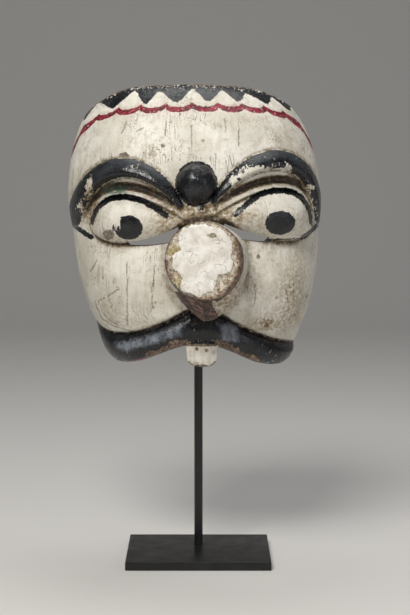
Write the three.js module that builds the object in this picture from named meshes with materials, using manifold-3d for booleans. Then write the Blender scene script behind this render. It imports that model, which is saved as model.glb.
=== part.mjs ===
// Carved and painted wooden dance mask on its steel display stand.
// Millimetres, +Z up. The face looks along -Y and the origin is under the middle of the foot.
// On this face "across" is the angle from the middle, from -90 to 90 degrees in radians,
// and "up" runs from 0 at the lower edge to 1 at the upper edge.
import * as THREE from 'three';
import { mergeVertices } from 'three/addons/utils/BufferGeometryUtils.js';
import Module from 'manifold-3d';

const wasm = await Module();
wasm.setup();

// Stand: a flat steel foot, and a round rod whose bent top reaches up inside the forehead.
const FOOT_WIDTH = 84;
const FOOT_DEPTH = 70;
const FOOT_THICKNESS = 5;
const FOOT_CHAMFER = 0.6;
const ROD_DIAMETER = 5;
const ROD_Y = 9.5;
const ROD_SIDES = 12;
const ROD_BEND_STEPS = 6;
const ROD_BEND_LENGTH = 26;
const ROD_TIP_LENGTH = 14;
const ROD_TIP_UP = 0.84;
const FIT_GAP = 0.3;

// Shell of the mask: half its width, and its depth in front of the rim, by height.
const RIM_Y = 18;
const WALL = 9;
const SECTION_POWER = 2.3;
const HALF_WIDTHS = [
  [112, 45], [118, 50.2], [123, 53.9], [129, 56.6], [137, 60], [149, 64.8], [166, 69.3],
  [182, 71.7], [196, 72.6], [214, 74.4], [240, 70.8], [262, 61.5], [280, 46],
];
const DEPTHS = [
  [112, 51], [125, 55.5], [140, 58], [170, 61], [205, 62.6],
  [230, 61.5], [250, 56], [262, 49.5], [272, 40], [278, 30],
];
const MIDDLE_X = -1.8;
const LEAN_TO_LEFT = 0.035;
const LEAN_FROM_HEIGHT = 200;

// Upper edge, and the lower edge with its notch in the middle.
const CROWN_HEIGHT = 277.5;
const CROWN_ARCH = 2.5;
const CROWN_CORNER_DROP = 12.5;
const CROWN_CORNER_SKEW = 1.5;
const LOWER_HEIGHT = 116.8;
const NOTCH_RISE = 14;
const NOTCH_SHARE = 0.87;
const JAW_RISE = 5;
const JAW_START = 0.86;
const LOWER_SKEW = 0.9;

// Curves of each half of the face as Bezier points [x, z], all from the temple to the nose, half the
// width of the brow along its length, and the shares at which the slit starts on its two curves.
const LEFT = {
  sign: -1,
  brow: [[-72.5, 200.5], [-61, 238.5], [-28.4, 239], [-10.1, 210]],
  browWidths: [[0, 5], [0.4, 5.5], [0.7, 4.6], [0.88, 3.2], [1, 1.9]],
  lid: [[-60, 199.5], [-55, 221], [-32, 217], [-7, 200.5]],
  eyeFoot: [[-60, 199], [-57.5, 183.6], [-24, 188.6], [-7, 200.5]],
  slitFoot: [[-56, 190.8], [-43.5, 185.9], [-27, 185.2], [-10, 190.4]],
  slitStart: [0.46, 0.42],
  moustache: [[-59.5, 140], [-50, 130.5], [-28, 137], [-4, 151]],
  cheek: [-41, 166],
};
const RIGHT = {
  sign: 1,
  brow: [[70.5, 200.5], [66.8, 248], [26.1, 240.5], [8.9, 211.9]],
  browWidths: [[0, 3.2], [0.25, 4.4], [0.5, 5.4], [0.75, 4.1], [0.88, 2.9], [1, 1.3]],
  lid: [[64.5, 199], [62, 226], [34.5, 221], [8, 202.5]],
  eyeFoot: [[65.5, 198], [62, 185.5], [38, 189.5], [8, 202.5]],
  slitFoot: [[62.5, 191.2], [50, 188], [31, 187.3], [14, 193.2]],
  slitStart: [0.6, 0.55],
  moustache: [[59, 127.5], [46, 130], [30, 137], [9, 150]],
  cheek: [43, 163],
};
const HALVES = [LEFT, RIGHT];
const CURVE_STEPS = 32;

// Carved relief over the shell. A power under 1 gives a full, rounded swell.
const HALF_OVERLAP = 6;
const BROW_HEIGHT = 5.4;
const BROW_SPREAD = 1.35;
const BROW_TEMPLE_START = 0.12;
const BROW_LENGTH = 0.8;
const BROW_FULLNESS = 0.55;
const EYE_HEIGHT = 8.5;
const EYE_ROUNDING = 6.4;
const EYE_FULLNESS = 0.6;
const EYE_FLATTEST = 1.3;
const EYE_FOOT_OVERHANG = 1.2;
const SOCKET_DEPTH = 4.8;
const SOCKET_OFFSET = 6;
const SOCKET_WIDTH = 3.6;
const CHEEK_HEIGHT = 6.5;
const CHEEK_HALF_WIDTH = 34;
const CHEEK_RISE = 25;
const CHEEK_FALL = 37;
const CHEEK_SQUARENESS = 2.6;
const CHEEK_TOP_SHARE = 0.15;
const CHEEK_EDGE_SHARE = 1.05;
const MOUSTACHE_HEIGHT = 5;
const MOUSTACHE_FULLNESS = 0.75;
const MOUSTACHE_BLEND = 6;
const MOUSTACHE_GROOVE = 2;
const MOUSTACHE_GROOVE_WIDTH = 2.6;
const MOUSTACHE_MIDDLE_X = 2.3;
const LOWER_EDGE_CHAMFER = 2.2;
const LOWER_EDGE_BAND = 3.2;
const BRIDGE = { x: 1.5, z: 203, height: 3, halfWidth: 9, halfHeight: 8 };
const RIM_FADE_POWER = 14;
const RIM_FADE = 0.9;

// The gaps under the eyeballs: where they end at the nose, and how far the cut runs along Y.
const SLIT_NOSE = 0.94;
const SLIT_BACK_Y = -4;
const SLIT_FRONT_Y = -72;

// Knob between the brows.
const KNOB = {
  x: -0.9, z: 221.8, radius: 11.6, drop: 13, pinch: 0.28,
  rootY: -41, frontY: -53.4, fullness: 0.9,
};
const KNOB_SIDES = 20;
const KNOB_RINGS = 6;
const KNOB_LAST_TILT = 0.91;

// Nose: a blunt, cut-off bulb. Each section is [y, middle x, half width, rise, fall, keel, shoulder].
// The two last values are powers that narrow its lower and its upper half.
const NOSE_Z = 182;
const NOSE_SECTIONS = [
  [-38, 4, 20, 19, 30, 1.2, 1.15],
  [-50, 4.5, 22.5, 19.3, 34, 1.4, 1.2],
  [-62, 4.7, 23.2, 19.8, 36, 1.5, 1.2],
  [-72, 4.3, 22.8, 20.4, 31.5, 1.45, 1.15],
  [-80, 3.7, 21.8, 20.9, 25.5, 1.25, 1.05],
  [-84.2, 3.2, 20.9, 21.1, 21.5, 1.05, 1],
];
const NOSE_KEEL_SKEW = 0.12;
const NOSE_FACE_Y = -85;
const NOSE_FACE_SHARE = 0.96;
const NOSE_SIDES = 30;
const NOSE_HOLLOW = {
  x: 4, z: 180, radius: 15, tipRadius: 8, startY: -22, wideY: -46, endY: -62, sides: 16,
};

// Tooth under the middle of the moustache.
const TOOTH = {
  x: 2.2, top: 136, foot: 118.8, topHalf: 9.4, footHalf: 8.6, corner: 3.2,
  backY: -32, frontY: -43, rounding: 1.6,
};

// Facets: the front of the shell has twice as many steps each way as the hollow behind.
const BACK_STEPS_ACROSS = 30;
const BACK_STEPS_UP = 24;
const EYE_ROW = 0.56;
const EYE_ROW_DENSITY = 0.35;

const clamp = THREE.MathUtils.clamp;

function fade(from, to, value) {
  const t = clamp((value - from) / (to - from), 0, 1);
  return t * t * (3 - 2 * t);
}

// Smooth curve through keys [place, value].
function readKeys(keys, at) {
  const last = keys.length - 1;
  const t = clamp(at, keys[0][0], keys[last][0]);
  let i = 0;
  while (i < last - 1 && t > keys[i + 1][0]) i += 1;
  const slope = (k) => {
    const a = keys[Math.max(k - 1, 0)];
    const b = keys[Math.min(k + 1, last)];
    return (b[1] - a[1]) / (b[0] - a[0]);
  };
  const span = keys[i + 1][0] - keys[i][0];
  const s = (t - keys[i][0]) / span;
  const fromStart = (2 * s ** 3 - 3 * s ** 2 + 1) * keys[i][1] + (s ** 3 - 2 * s ** 2 + s) * span * slope(i);
  const fromEnd = (3 * s ** 2 - 2 * s ** 3) * keys[i + 1][1] + (s ** 3 - s ** 2) * span * slope(i + 1);
  return fromStart + fromEnd;
}

function curvePoints(corners) {
  const points = corners.map(([x, z]) => new THREE.Vector2(x, z));
  return new THREE.CubicBezierCurve(...points).getPoints(CURVE_STEPS);
}

// Every curve is sampled once, as points in the plane of x and z.
for (const half of HALVES) {
  for (const name of ['brow', 'lid', 'eyeFoot', 'slitFoot', 'moustache']) {
    half[name] = curvePoints(half[name]);
  }
}

// Distance to a sampled curve, the share of the curve passed there, and the height over it.
function measure(curve, x, z, sign) {
  let nearest = Infinity;
  let share = 0;
  let over = 0;
  for (let i = 0; i < curve.length - 1; i += 1) {
    const alongX = curve[i + 1].x - curve[i].x;
    const alongZ = curve[i + 1].y - curve[i].y;
    const toX = x - curve[i].x;
    const toZ = z - curve[i].y;
    const t = clamp((toX * alongX + toZ * alongZ) / (alongX ** 2 + alongZ ** 2), 0, 1);
    const distance = Math.hypot(toX - t * alongX, toZ - t * alongZ);
    if (distance < nearest) {
      nearest = distance;
      share = (i + t) / (curve.length - 1);
      over = -sign * Math.sign(alongX * toZ - alongZ * toX) * distance;
    }
  }
  return { distance: nearest, share, over };
}

function lowerEdge(s) {
  const side = Math.abs(s);
  const notch = NOTCH_RISE * (1 - fade(0, NOTCH_SHARE, side));
  const jaw = JAW_RISE * (Math.max(0, side - JAW_START) / (1 - JAW_START)) ** 2;
  return LOWER_HEIGHT + notch + jaw - LOWER_SKEW * s * fade(0, 0.5, side);
}

function upperEdge(s) {
  const corner = (CROWN_CORNER_DROP - CROWN_CORNER_SKEW * s) * Math.abs(s) ** 8;
  return CROWN_HEIGHT - CROWN_ARCH * s * s - corner;
}

function shellPoint(across, up) {
  const s = Math.sin(across);
  const z = THREE.MathUtils.lerp(lowerEdge(s), upperEdge(s), up);
  const reach = Math.max(0, 1 - Math.abs(s) ** SECTION_POWER) ** (1 / SECTION_POWER);
  const middle = MIDDLE_X - LEAN_TO_LEFT * (z - LEAN_FROM_HEIGHT);
  return new THREE.Vector3(middle + readKeys(HALF_WIDTHS, z) * s, RIM_Y - readKeys(DEPTHS, z) * reach, z);
}

function shellNormal(across, up) {
  const step = 0.001;
  const rim = Math.PI / 2;
  const left = shellPoint(Math.max(across - step, -rim), up);
  const right = shellPoint(Math.min(across + step, rim), up);
  const below = shellPoint(across, Math.max(up - step, 0));
  const above = shellPoint(across, Math.min(up + step, 1));
  return right.sub(left).cross(above.sub(below)).normalize();
}

// One half of the face: brow, lid and eyeball.
function eyeRelief(half, x, z) {
  if (x * half.sign < -HALF_OVERLAP) return 0;
  const brow = measure(half.brow, x, z, half.sign);
  const lid = measure(half.lid, x, z, half.sign);
  const foot = measure(half.eyeFoot, x, z, half.sign);
  const swell = Math.sin(Math.PI * (BROW_TEMPLE_START + brow.share * BROW_LENGTH)) ** BROW_FULLNESS;
  const reach = BROW_SPREAD * readKeys(half.browWidths, brow.share);
  const browRise = BROW_HEIGHT * fade(reach, 0, brow.distance) * swell;
  const below = Math.max(-lid.over, 0);
  const above = Math.max(foot.over + EYE_FOOT_OVERHANG, 0);
  const roundness = (below * above) / Math.max(below + above, 1e-6) / EYE_ROUNDING;
  const ball = EYE_HEIGHT * clamp(roundness, 0, EYE_FLATTEST) ** EYE_FULLNESS;
  const ends = Math.sin(Math.PI * clamp(lid.share, 0, 1));
  const socket = SOCKET_DEPTH * Math.exp(-(((lid.over - SOCKET_OFFSET) / SOCKET_WIDTH) ** 2)) * ends;
  return ball + browRise - socket * (1 - browRise / BROW_HEIGHT);
}

function cheekRelief(half, x, z) {
  const tall = z > half.cheek[1] ? CHEEK_RISE : CHEEK_FALL;
  const sideways = Math.abs((x - half.cheek[0]) / CHEEK_HALF_WIDTH);
  const upwards = Math.abs((z - half.cheek[1]) / tall);
  const r = (sideways ** CHEEK_SQUARENESS + upwards ** CHEEK_SQUARENESS) ** (1 / CHEEK_SQUARENESS);
  return CHEEK_HEIGHT * fade(CHEEK_EDGE_SHARE, CHEEK_TOP_SHARE, r);
}

// The moustache is a rounded band from its upper edge down to the lower edge of the shell.
function moustacheRelief(half, x, z, edgeZ, relief) {
  const under = -measure(half.moustache, x, z, half.sign).over;
  const groove = -MOUSTACHE_GROOVE * Math.exp(-(((under - 0.6) / MOUSTACHE_GROOVE_WIDTH) ** 2));
  if (under <= 0) return relief + groove;
  const t = clamp(under / Math.max(under + z - edgeZ, 1e-6), 0, 1);
  const band = MOUSTACHE_HEIGHT * Math.sin(Math.PI * t) ** MOUSTACHE_FULLNESS;
  return relief * fade(MOUSTACHE_BLEND, 0, under) + groove + band;
}

function faceRelief(x, z, s) {
  let relief = HALVES.reduce((sum, half) => sum + eyeRelief(half, x, z) + cheekRelief(half, x, z), 0);
  const half = x < MOUSTACHE_MIDDLE_X ? LEFT : RIGHT;
  relief = moustacheRelief(half, x, z, lowerEdge(s), relief);
  const sideways = ((x - BRIDGE.x) / BRIDGE.halfWidth) ** 2;
  const upwards = ((z - BRIDGE.z) / BRIDGE.halfHeight) ** 2;
  relief += BRIDGE.height * Math.exp(-sideways - upwards);
  relief -= LOWER_EDGE_CHAMFER * fade(LOWER_EDGE_BAND, 0, z - lowerEdge(s));
  return relief * (1 - RIM_FADE * Math.abs(s) ** RIM_FADE_POWER);
}

function frontPoint(across, up) {
  const point = shellPoint(across, up);
  const relief = faceRelief(point.x, point.z, Math.sin(across));
  return point.addScaledVector(shellNormal(across, up), relief);
}

function backPoint(across, up) {
  return shellPoint(across, up).addScaledVector(shellNormal(across, up), -WALL);
}

// Rows are closer together at the height of the eyes.
function rowHeight(row) {
  const wave = (at) => Math.sin(2 * Math.PI * (at - EYE_ROW));
  return row - (EYE_ROW_DENSITY / (2 * Math.PI)) * (wave(row) - wave(0));
}

function gridPoint(i, j, stepsAcross, stepsUp, pointAt) {
  return pointAt(Math.PI * (i / stepsAcross - 0.5), rowHeight(j / stepsUp));
}

function pointGrid(stepsAcross, stepsUp, pointAt) {
  const points = [];
  for (let j = 0; j <= stepsUp; j += 1) {
    for (let i = 0; i <= stepsAcross; i += 1) {
      points.push(gridPoint(i, j, stepsAcross, stepsUp, pointAt));
    }
  }
  return points;
}

// Each cell of a grid is split along the diagonal that lies closer to the true surface.
function gridFaces(points, stepsAcross, stepsUp, pointAt, first, flipped) {
  const faces = [];
  const wide = stepsAcross + 1;
  const offCentre = (a, b, centre) => points[a].clone().lerp(points[b], 0.5).distanceTo(centre);
  for (let j = 0; j < stepsUp; j += 1) {
    for (let i = 0; i < stepsAcross; i += 1) {
      const a = j * wide + i;
      const centre = gridPoint(i + 0.5, j + 0.5, stepsAcross, stepsUp, pointAt);
      const turned = offCentre(a + 1, a + wide, centre) < offCentre(a, a + wide + 1, centre);
      const quad = turned ? [a + 1, a + wide + 1, a + wide, a] : [a, a + 1, a + wide + 1, a + wide];
      if (flipped) quad.reverse();
      const [p, q, r, s] = quad.map((index) => first + index);
      if (flipped) faces.push([p, q, s], [q, r, s]);
      else faces.push([p, q, r], [p, r, s]);
    }
  }
  return faces;
}

// The border of a grid: lower edge, right rim, upper edge, left rim.
function gridBorder(stepsAcross, stepsUp, first) {
  const at = (i, j) => first + j * (stepsAcross + 1) + i;
  const border = [];
  for (let i = 0; i < stepsAcross; i += 1) border.push(at(i, 0));
  for (let j = 0; j < stepsUp; j += 1) border.push(at(stepsAcross, j));
  for (let i = stepsAcross; i > 0; i -= 1) border.push(at(i, stepsUp));
  for (let j = stepsUp; j > 0; j -= 1) border.push(at(0, j));
  return border;
}

function bridgeBorders(fine, coarse) {
  const faces = [];
  coarse.forEach((b0, k) => {
    const b1 = coarse[(k + 1) % coarse.length];
    const [f0, f1, f2] = [fine[2 * k], fine[2 * k + 1], fine[(2 * k + 2) % fine.length]];
    faces.push([f0, b0, f1], [f1, b0, b1], [f1, b1, f2]);
  });
  return faces;
}

function toSolid(geometry) {
  const bare = geometry.clone();
  bare.deleteAttribute('normal');
  bare.deleteAttribute('uv');
  const merged = mergeVertices(bare, 1e-4);
  return new wasm.Manifold(new wasm.Mesh({
    numProp: 3,
    vertProperties: new Float32Array(merged.attributes.position.array),
    triVerts: new Uint32Array(merged.index.array),
  }));
}

function facesToGeometry(points, faces) {
  const geometry = new THREE.BufferGeometry().setFromPoints(points);
  geometry.setIndex(faces.flat());
  return geometry;
}

function shellSolid() {
  const across = 2 * BACK_STEPS_ACROSS;
  const up = 2 * BACK_STEPS_UP;
  const front = pointGrid(across, up, frontPoint);
  const back = pointGrid(BACK_STEPS_ACROSS, BACK_STEPS_UP, backPoint);
  const faces = [
    ...gridFaces(front, across, up, frontPoint, 0, false),
    ...gridFaces(back, BACK_STEPS_ACROSS, BACK_STEPS_UP, backPoint, front.length, true),
    ...bridgeBorders(gridBorder(across, up, 0), gridBorder(BACK_STEPS_ACROSS, BACK_STEPS_UP, front.length)),
  ];
  return toSolid(facesToGeometry([...front, ...back], faces));
}

// A closed skin over rings of points, each ring with the same number of points.
function skinRings(rings) {
  const sides = rings[0].length;
  const middle = (ring) => ring.reduce((sum, p) => sum.add(p), new THREE.Vector3()).divideScalar(sides);
  const points = [...rings.flat(), middle(rings[0]), middle(rings.at(-1))];
  const start = points.length - 2;
  const lastRing = (rings.length - 1) * sides;
  const faces = [];
  for (let i = 0; i < sides; i += 1) {
    const next = (i + 1) % sides;
    faces.push([start, next, i], [start + 1, lastRing + i, lastRing + next]);
    for (let ring = 0; ring < lastRing; ring += sides) {
      const far = ring + sides;
      faces.push([ring + i, ring + next, far + next], [ring + i, far + next, far + i]);
    }
  }
  return facesToGeometry(points, faces);
}

// A ring around the Y axis, turning so that the skin faces out when the rings run to -Y.
function ringAt(y, sides, place) {
  return Array.from({ length: sides }, (_, i) => {
    const [x, z] = place(2 * Math.PI * (i / sides));
    return new THREE.Vector3(x, y, z);
  });
}

function noseRing([y, middle, halfWidth, rise, fall, keel, shoulder], share = 1) {
  return ringAt(y, NOSE_SIDES, (turn) => {
    const c = Math.cos(turn);
    const s = Math.sin(turn);
    const power = s < 0 ? keel - NOSE_KEEL_SKEW * Math.sign(c) : shoulder;
    const wide = Math.sign(c) * Math.abs(c) ** power;
    return [middle + share * halfWidth * wide, NOSE_Z + share * (s > 0 ? rise : fall) * s];
  });
}

function noseSolid() {
  const rings = NOSE_SECTIONS.map((section) => noseRing(section));
  const last = NOSE_SECTIONS.at(-1);
  rings.push(noseRing([NOSE_FACE_Y, ...last.slice(1)], NOSE_FACE_SHARE));
  return toSolid(skinRings(rings));
}

function noseHollowSolid() {
  const { x, z, radius, tipRadius, startY, wideY, endY, sides } = NOSE_HOLLOW;
  const ring = (y, r) => ringAt(y, sides, (turn) => [x + r * Math.cos(turn), z + r * Math.sin(turn)]);
  return toSolid(skinRings([ring(startY, radius), ring(wideY, radius), ring(endY, tipRadius)]));
}

function knobSolid() {
  const rings = [];
  for (let k = 0; k <= KNOB_RINGS; k += 1) {
    const tilt = KNOB_LAST_TILT * (k / KNOB_RINGS) * (Math.PI / 2);
    const share = Math.cos(tilt) ** KNOB.fullness;
    const y = THREE.MathUtils.lerp(KNOB.rootY, KNOB.frontY, Math.sin(tilt));
    rings.push(ringAt(y, KNOB_SIDES, (turn) => {
      const s = Math.sin(turn);
      const narrow = s < 0 ? 1 - KNOB.pinch * s * s : 1;
      const reach = s < 0 ? KNOB.drop : KNOB.radius;
      return [KNOB.x + KNOB.radius * share * narrow * Math.cos(turn), KNOB.z + reach * share * s];
    }));
  }
  return toSolid(skinRings(rings));
}

// A shape drawn in x and z, drawn out along -Y from startY to endY.
function prismAlongY(shape, startY, endY, rounding = 0) {
  const geometry = new THREE.ExtrudeGeometry(shape, {
    depth: startY - endY - 2 * rounding,
    steps: 1,
    curveSegments: 3,
    bevelEnabled: rounding > 0,
    bevelThickness: rounding,
    bevelSize: rounding,
    bevelOffset: -rounding,
    bevelSegments: 2,
  });
  return geometry.rotateX(Math.PI / 2).translate(0, startY - rounding, 0);
}

function toothSolid() {
  const { x, top, foot, topHalf, footHalf, corner, backY, frontY } = TOOTH;
  const shape = new THREE.Shape();
  shape.moveTo(x - topHalf, top);
  shape.lineTo(x - footHalf, foot + corner);
  shape.lineTo(x - footHalf + corner, foot);
  shape.lineTo(x + footHalf - corner, foot);
  shape.lineTo(x + footHalf, foot + corner);
  shape.lineTo(x + topHalf, top);
  return toSolid(prismAlongY(shape, backY, frontY, TOOTH.rounding));
}

// The gap under an eyeball, from below its middle to the side of the nose.
function slitSolid(half) {
  const fromTo = (curve, start, end) => curve.filter((_, i) => {
    const share = i / CURVE_STEPS;
    return share >= start && share <= end;
  });
  const above = fromTo(half.eyeFoot, half.slitStart[0], SLIT_NOSE);
  const under = fromTo(half.slitFoot, half.slitStart[1], 1);
  const outline = new THREE.Shape([...above, ...under.reverse()]);
  return toSolid(prismAlongY(outline, SLIT_BACK_Y, SLIT_FRONT_Y));
}

function maskGeometry() {
  const solid = shellSolid()
    .subtract(slitSolid(LEFT))
    .subtract(slitSolid(RIGHT))
    .add(noseSolid())
    .add(knobSolid())
    .add(toothSolid())
    .subtract(noseHollowSolid());
  const mesh = solid.getMesh();
  const geometry = new THREE.BufferGeometry();
  geometry.setAttribute('position', new THREE.BufferAttribute(new Float32Array(mesh.vertProperties), 3));
  geometry.setIndex(new THREE.BufferAttribute(new Uint32Array(mesh.triVerts), 1));
  return geometry;
}

function footGeometry() {
  const wide = FOOT_WIDTH / 2 - FOOT_CHAMFER;
  const deep = FOOT_DEPTH / 2 - FOOT_CHAMFER;
  const shape = new THREE.Shape([
    new THREE.Vector2(-wide, -deep),
    new THREE.Vector2(wide, -deep),
    new THREE.Vector2(wide, deep),
    new THREE.Vector2(-wide, deep),
  ]);
  const geometry = new THREE.ExtrudeGeometry(shape, {
    depth: FOOT_THICKNESS - 2 * FOOT_CHAMFER,
    bevelEnabled: true,
    bevelThickness: FOOT_CHAMFER,
    bevelSize: FOOT_CHAMFER,
    bevelSegments: 1,
  });
  return geometry.translate(0, 0, FOOT_CHAMFER);
}

// The rod's line: straight up, then bent forward so that its end faces the inside of the forehead.
function rodLine() {
  const inward = shellNormal(0, ROD_TIP_UP).negate();
  const tip = shellPoint(0, ROD_TIP_UP).addScaledVector(inward, WALL + 2 * FIT_GAP);
  tip.x = 0;
  inward.x = 0;
  inward.normalize();
  const bendEnd = tip.clone().addScaledVector(inward, ROD_TIP_LENGTH);
  const rise = (bendEnd.y - ROD_Y) * (inward.z / inward.y);
  const corner = new THREE.Vector3(0, ROD_Y, bendEnd.z - rise);
  const bendStart = corner.clone().setZ(corner.z - ROD_BEND_LENGTH);
  const bend = new THREE.QuadraticBezierCurve3(bendStart, corner, bendEnd).getPoints(ROD_BEND_STEPS);
  return [new THREE.Vector3(0, ROD_Y, FOOT_THICKNESS + FIT_GAP), ...bend, tip];
}

function rodGeometry() {
  const line = rodLine();
  const rings = line.map((point, k) => {
    const before = line[Math.max(k - 1, 0)];
    const after = line[Math.min(k + 1, line.length - 1)];
    const along = after.clone().sub(before).normalize();
    const side = new THREE.Vector3(1, 0, 0);
    const front = along.clone().cross(side);
    return Array.from({ length: ROD_SIDES }, (_, i) => {
      const turn = (2 * Math.PI * i) / ROD_SIDES;
      const out = side.clone().multiplyScalar(Math.cos(turn)).addScaledVector(front, Math.sin(turn));
      return point.clone().addScaledVector(out, ROD_DIAMETER / 2);
    });
  });
  return skinRings(rings);
}

const paintedWood = new THREE.MeshStandardMaterial({ color: 0xd9cfba, roughness: 0.6, metalness: 0 });
const blackFootSteel = new THREE.MeshStandardMaterial({ color: 0x141416, roughness: 0.4, metalness: 0.6 });
const blackRodSteel = new THREE.MeshStandardMaterial({ color: 0x101012, roughness: 0.45, metalness: 0.6 });

function namedMesh(name, geometry, material) {
  const mesh = new THREE.Mesh(geometry, material);
  mesh.name = name;
  return mesh;
}

const group = new THREE.Group();
group.add(namedMesh('mask', maskGeometry(), paintedWood));
group.add(namedMesh('foot', footGeometry(), blackFootSteel));
group.add(namedMesh('rod', rodGeometry(), blackRodSteel));

export default group;
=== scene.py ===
# A carved and painted wooden dance mask, held up on a black steel rod and foot.
import math

import bpy
import numpy as np
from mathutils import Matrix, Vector, noise


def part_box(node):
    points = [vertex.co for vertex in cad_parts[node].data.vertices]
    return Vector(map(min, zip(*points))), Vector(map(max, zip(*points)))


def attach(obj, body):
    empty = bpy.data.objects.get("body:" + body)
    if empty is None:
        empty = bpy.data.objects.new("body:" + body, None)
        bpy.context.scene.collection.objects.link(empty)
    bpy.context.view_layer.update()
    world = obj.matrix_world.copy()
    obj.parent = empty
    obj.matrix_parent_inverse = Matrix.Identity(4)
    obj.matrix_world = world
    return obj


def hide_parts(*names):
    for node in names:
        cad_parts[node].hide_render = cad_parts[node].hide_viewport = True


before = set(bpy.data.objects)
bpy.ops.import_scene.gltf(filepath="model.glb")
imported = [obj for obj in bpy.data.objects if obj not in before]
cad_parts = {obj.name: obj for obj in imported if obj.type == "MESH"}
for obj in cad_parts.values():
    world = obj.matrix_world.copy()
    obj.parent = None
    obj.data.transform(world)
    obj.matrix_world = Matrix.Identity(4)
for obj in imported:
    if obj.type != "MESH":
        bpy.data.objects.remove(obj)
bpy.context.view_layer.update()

# The mask's shell: one block of light wood, carved outside to the face and hollowed behind to a wall
# of 9 mm. Sizes are in millimetres, the face looks along -Y, and heights are over the table. The
# surface is worked out point by point, because the face is a curved wall with relief all over it.
MM = 0.001
RIM_Y = 18.0
WALL = 9.0
# How square the shell is in plan: 2 would be an ellipse.
SECTION_POWER = 2.3
# Half the width and the depth, by the height.
HALF_WIDTHS = [
    (112, 45), (118, 50.2), (123, 53.9), (129, 56.6), (137, 60), (149, 64.8), (166, 69.3),
    (182, 71.7), (196, 72.6), (214, 74.4), (240, 70.8), (262, 61.5), (280, 46),
]
DEPTHS = [
    (112, 51), (125, 55.5), (140, 58), (170, 61), (205, 62.6),
    (230, 61.5), (250, 56), (262, 49.5), (272, 40), (278, 30),
]
MIDDLE_X, LEAN_TO_LEFT, LEAN_FROM = -1.8, 0.035, 200.0
CROWN_HEIGHT, CROWN_ARCH, CROWN_DROP, CROWN_SKEW = 277.5, 2.5, 12.5, 1.5
LOWER_HEIGHT, LOWER_SKEW = 116.8, 0.9
NOTCH_RISE, NOTCH_SHARE = 14.0, 0.87
JAW_RISE, JAW_START = 5.0, 0.86

# The curves of each half of the face, as Bezier points (x, z) from the temple to the nose, half the
# width of the brow along its length, the shares at which the slit starts on its two curves, and how
# far the painted line of the lid drops below its carved edge towards the nose.
LEFT = {
    "sign": -1,
    "brow": [(-72.5, 200.5), (-61, 238.5), (-28.4, 239), (-10.1, 210)],
    "brow_widths": [(0, 5), (0.4, 5.5), (0.7, 4.6), (0.88, 3.2), (1, 1.9)],
    "lid": [(-60, 199.5), (-55, 221), (-32, 217), (-7, 200.5)],
    "eye_foot": [(-60, 199), (-57.5, 183.6), (-24, 188.6), (-7, 200.5)],
    "slit_foot": [(-56, 190.8), (-43.5, 185.9), (-27, 185.2), (-10, 190.4)],
    "slit_start": (0.46, 0.42),
    "line_drop": 2.3,
    "moustache": [(-59.5, 140), (-50, 130.5), (-28, 137), (-4, 151)],
    "cheek": (-41, 166),
}
RIGHT = {
    "sign": 1,
    "brow": [(70.5, 200.5), (66.8, 248), (26.1, 240.5), (8.9, 211.9)],
    "brow_widths": [(0, 3.2), (0.25, 4.4), (0.5, 5.4), (0.75, 4.1), (0.88, 2.9), (1, 1.3)],
    "lid": [(64.5, 199), (62, 226), (34.5, 221), (8, 202.5)],
    "eye_foot": [(65.5, 198), (62, 185.5), (38, 189.5), (8, 202.5)],
    "slit_foot": [(62.5, 191.2), (50, 188), (31, 187.3), (14, 193.2)],
    "slit_start": (0.6, 0.55),
    "line_drop": 5.0,
    "moustache": [(59, 127.5), (46, 130), (30, 137), (9, 150)],
    "cheek": (43, 163),
}
HALVES = [LEFT, RIGHT]
CURVE_STEPS = 40
# The crimson line hangs below the crown in scallops, whose spacing is in degrees round the head.
RED_DROP, RED_SIDE_DROP, RED_CUSP_STEP, RED_CUSP_START, RED_LINE_HALF = 14.3, 8.0, 14.6, 0.7, 1.6
# The grid of the carved side, denser at the height of the eyes, and how much coarser the back is.
STEPS_ACROSS, STEPS_UP, BACK_SHARE = 288, 240, 3
EYE_ROW, EYE_ROW_DENSITY = 0.56, 0.35


def fade(start, end, value):
    t = np.clip((value - start) / (end - start), 0, 1)
    return t * t * (3 - 2 * t)


def read_keys(keys, at):
    """The smooth curve through a list of (place, value), read at each place asked for."""
    places, values = np.array(keys, float).T
    slopes = np.empty_like(values)
    slopes[1:-1] = (values[2:] - values[:-2]) / (places[2:] - places[:-2])
    slopes[0] = (values[1] - values[0]) / (places[1] - places[0])
    slopes[-1] = (values[-1] - values[-2]) / (places[-1] - places[-2])
    at = np.clip(at, places[0], places[-1])
    i = np.clip(np.searchsorted(places, at, side="right") - 1, 0, len(places) - 2)
    span = places[i + 1] - places[i]
    s = (at - places[i]) / span
    from_start = (2 * s**3 - 3 * s**2 + 1) * values[i] + (s**3 - 2 * s**2 + s) * span * slopes[i]
    from_end = (3 * s**2 - 2 * s**3) * values[i + 1] + (s**3 - s**2) * span * slopes[i + 1]
    return from_start + from_end


def curve_points(corners):
    a, b, c, d = np.array(corners, float)
    t = np.linspace(0, 1, CURVE_STEPS + 1)[:, None]
    return (1 - t)**3 * a + 3 * (1 - t)**2 * t * b + 3 * (1 - t) * t**2 * c + t**3 * d


for half in HALVES:
    for name in ("brow", "lid", "eye_foot", "slit_foot", "moustache"):
        half[name] = curve_points(half[name])


def measure(curve, x, z, sign):
    """Distance to a curve, the share of the curve passed there, and the height over it."""
    nearest = np.full(x.shape, 1e9)
    share = np.zeros(x.shape)
    over = np.zeros(x.shape)
    for i in range(len(curve) - 1):
        along_x, along_z = curve[i + 1] - curve[i]
        to_x, to_z = x - curve[i, 0], z - curve[i, 1]
        t = np.clip((to_x * along_x + to_z * along_z) / (along_x**2 + along_z**2), 0, 1)
        distance = np.hypot(to_x - t * along_x, to_z - t * along_z)
        closer = distance < nearest
        nearest = np.where(closer, distance, nearest)
        share = np.where(closer, (i + t) / (len(curve) - 1), share)
        over = np.where(closer, -sign * np.sign(along_x * to_z - along_z * to_x) * distance, over)
    return nearest, share, over


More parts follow.
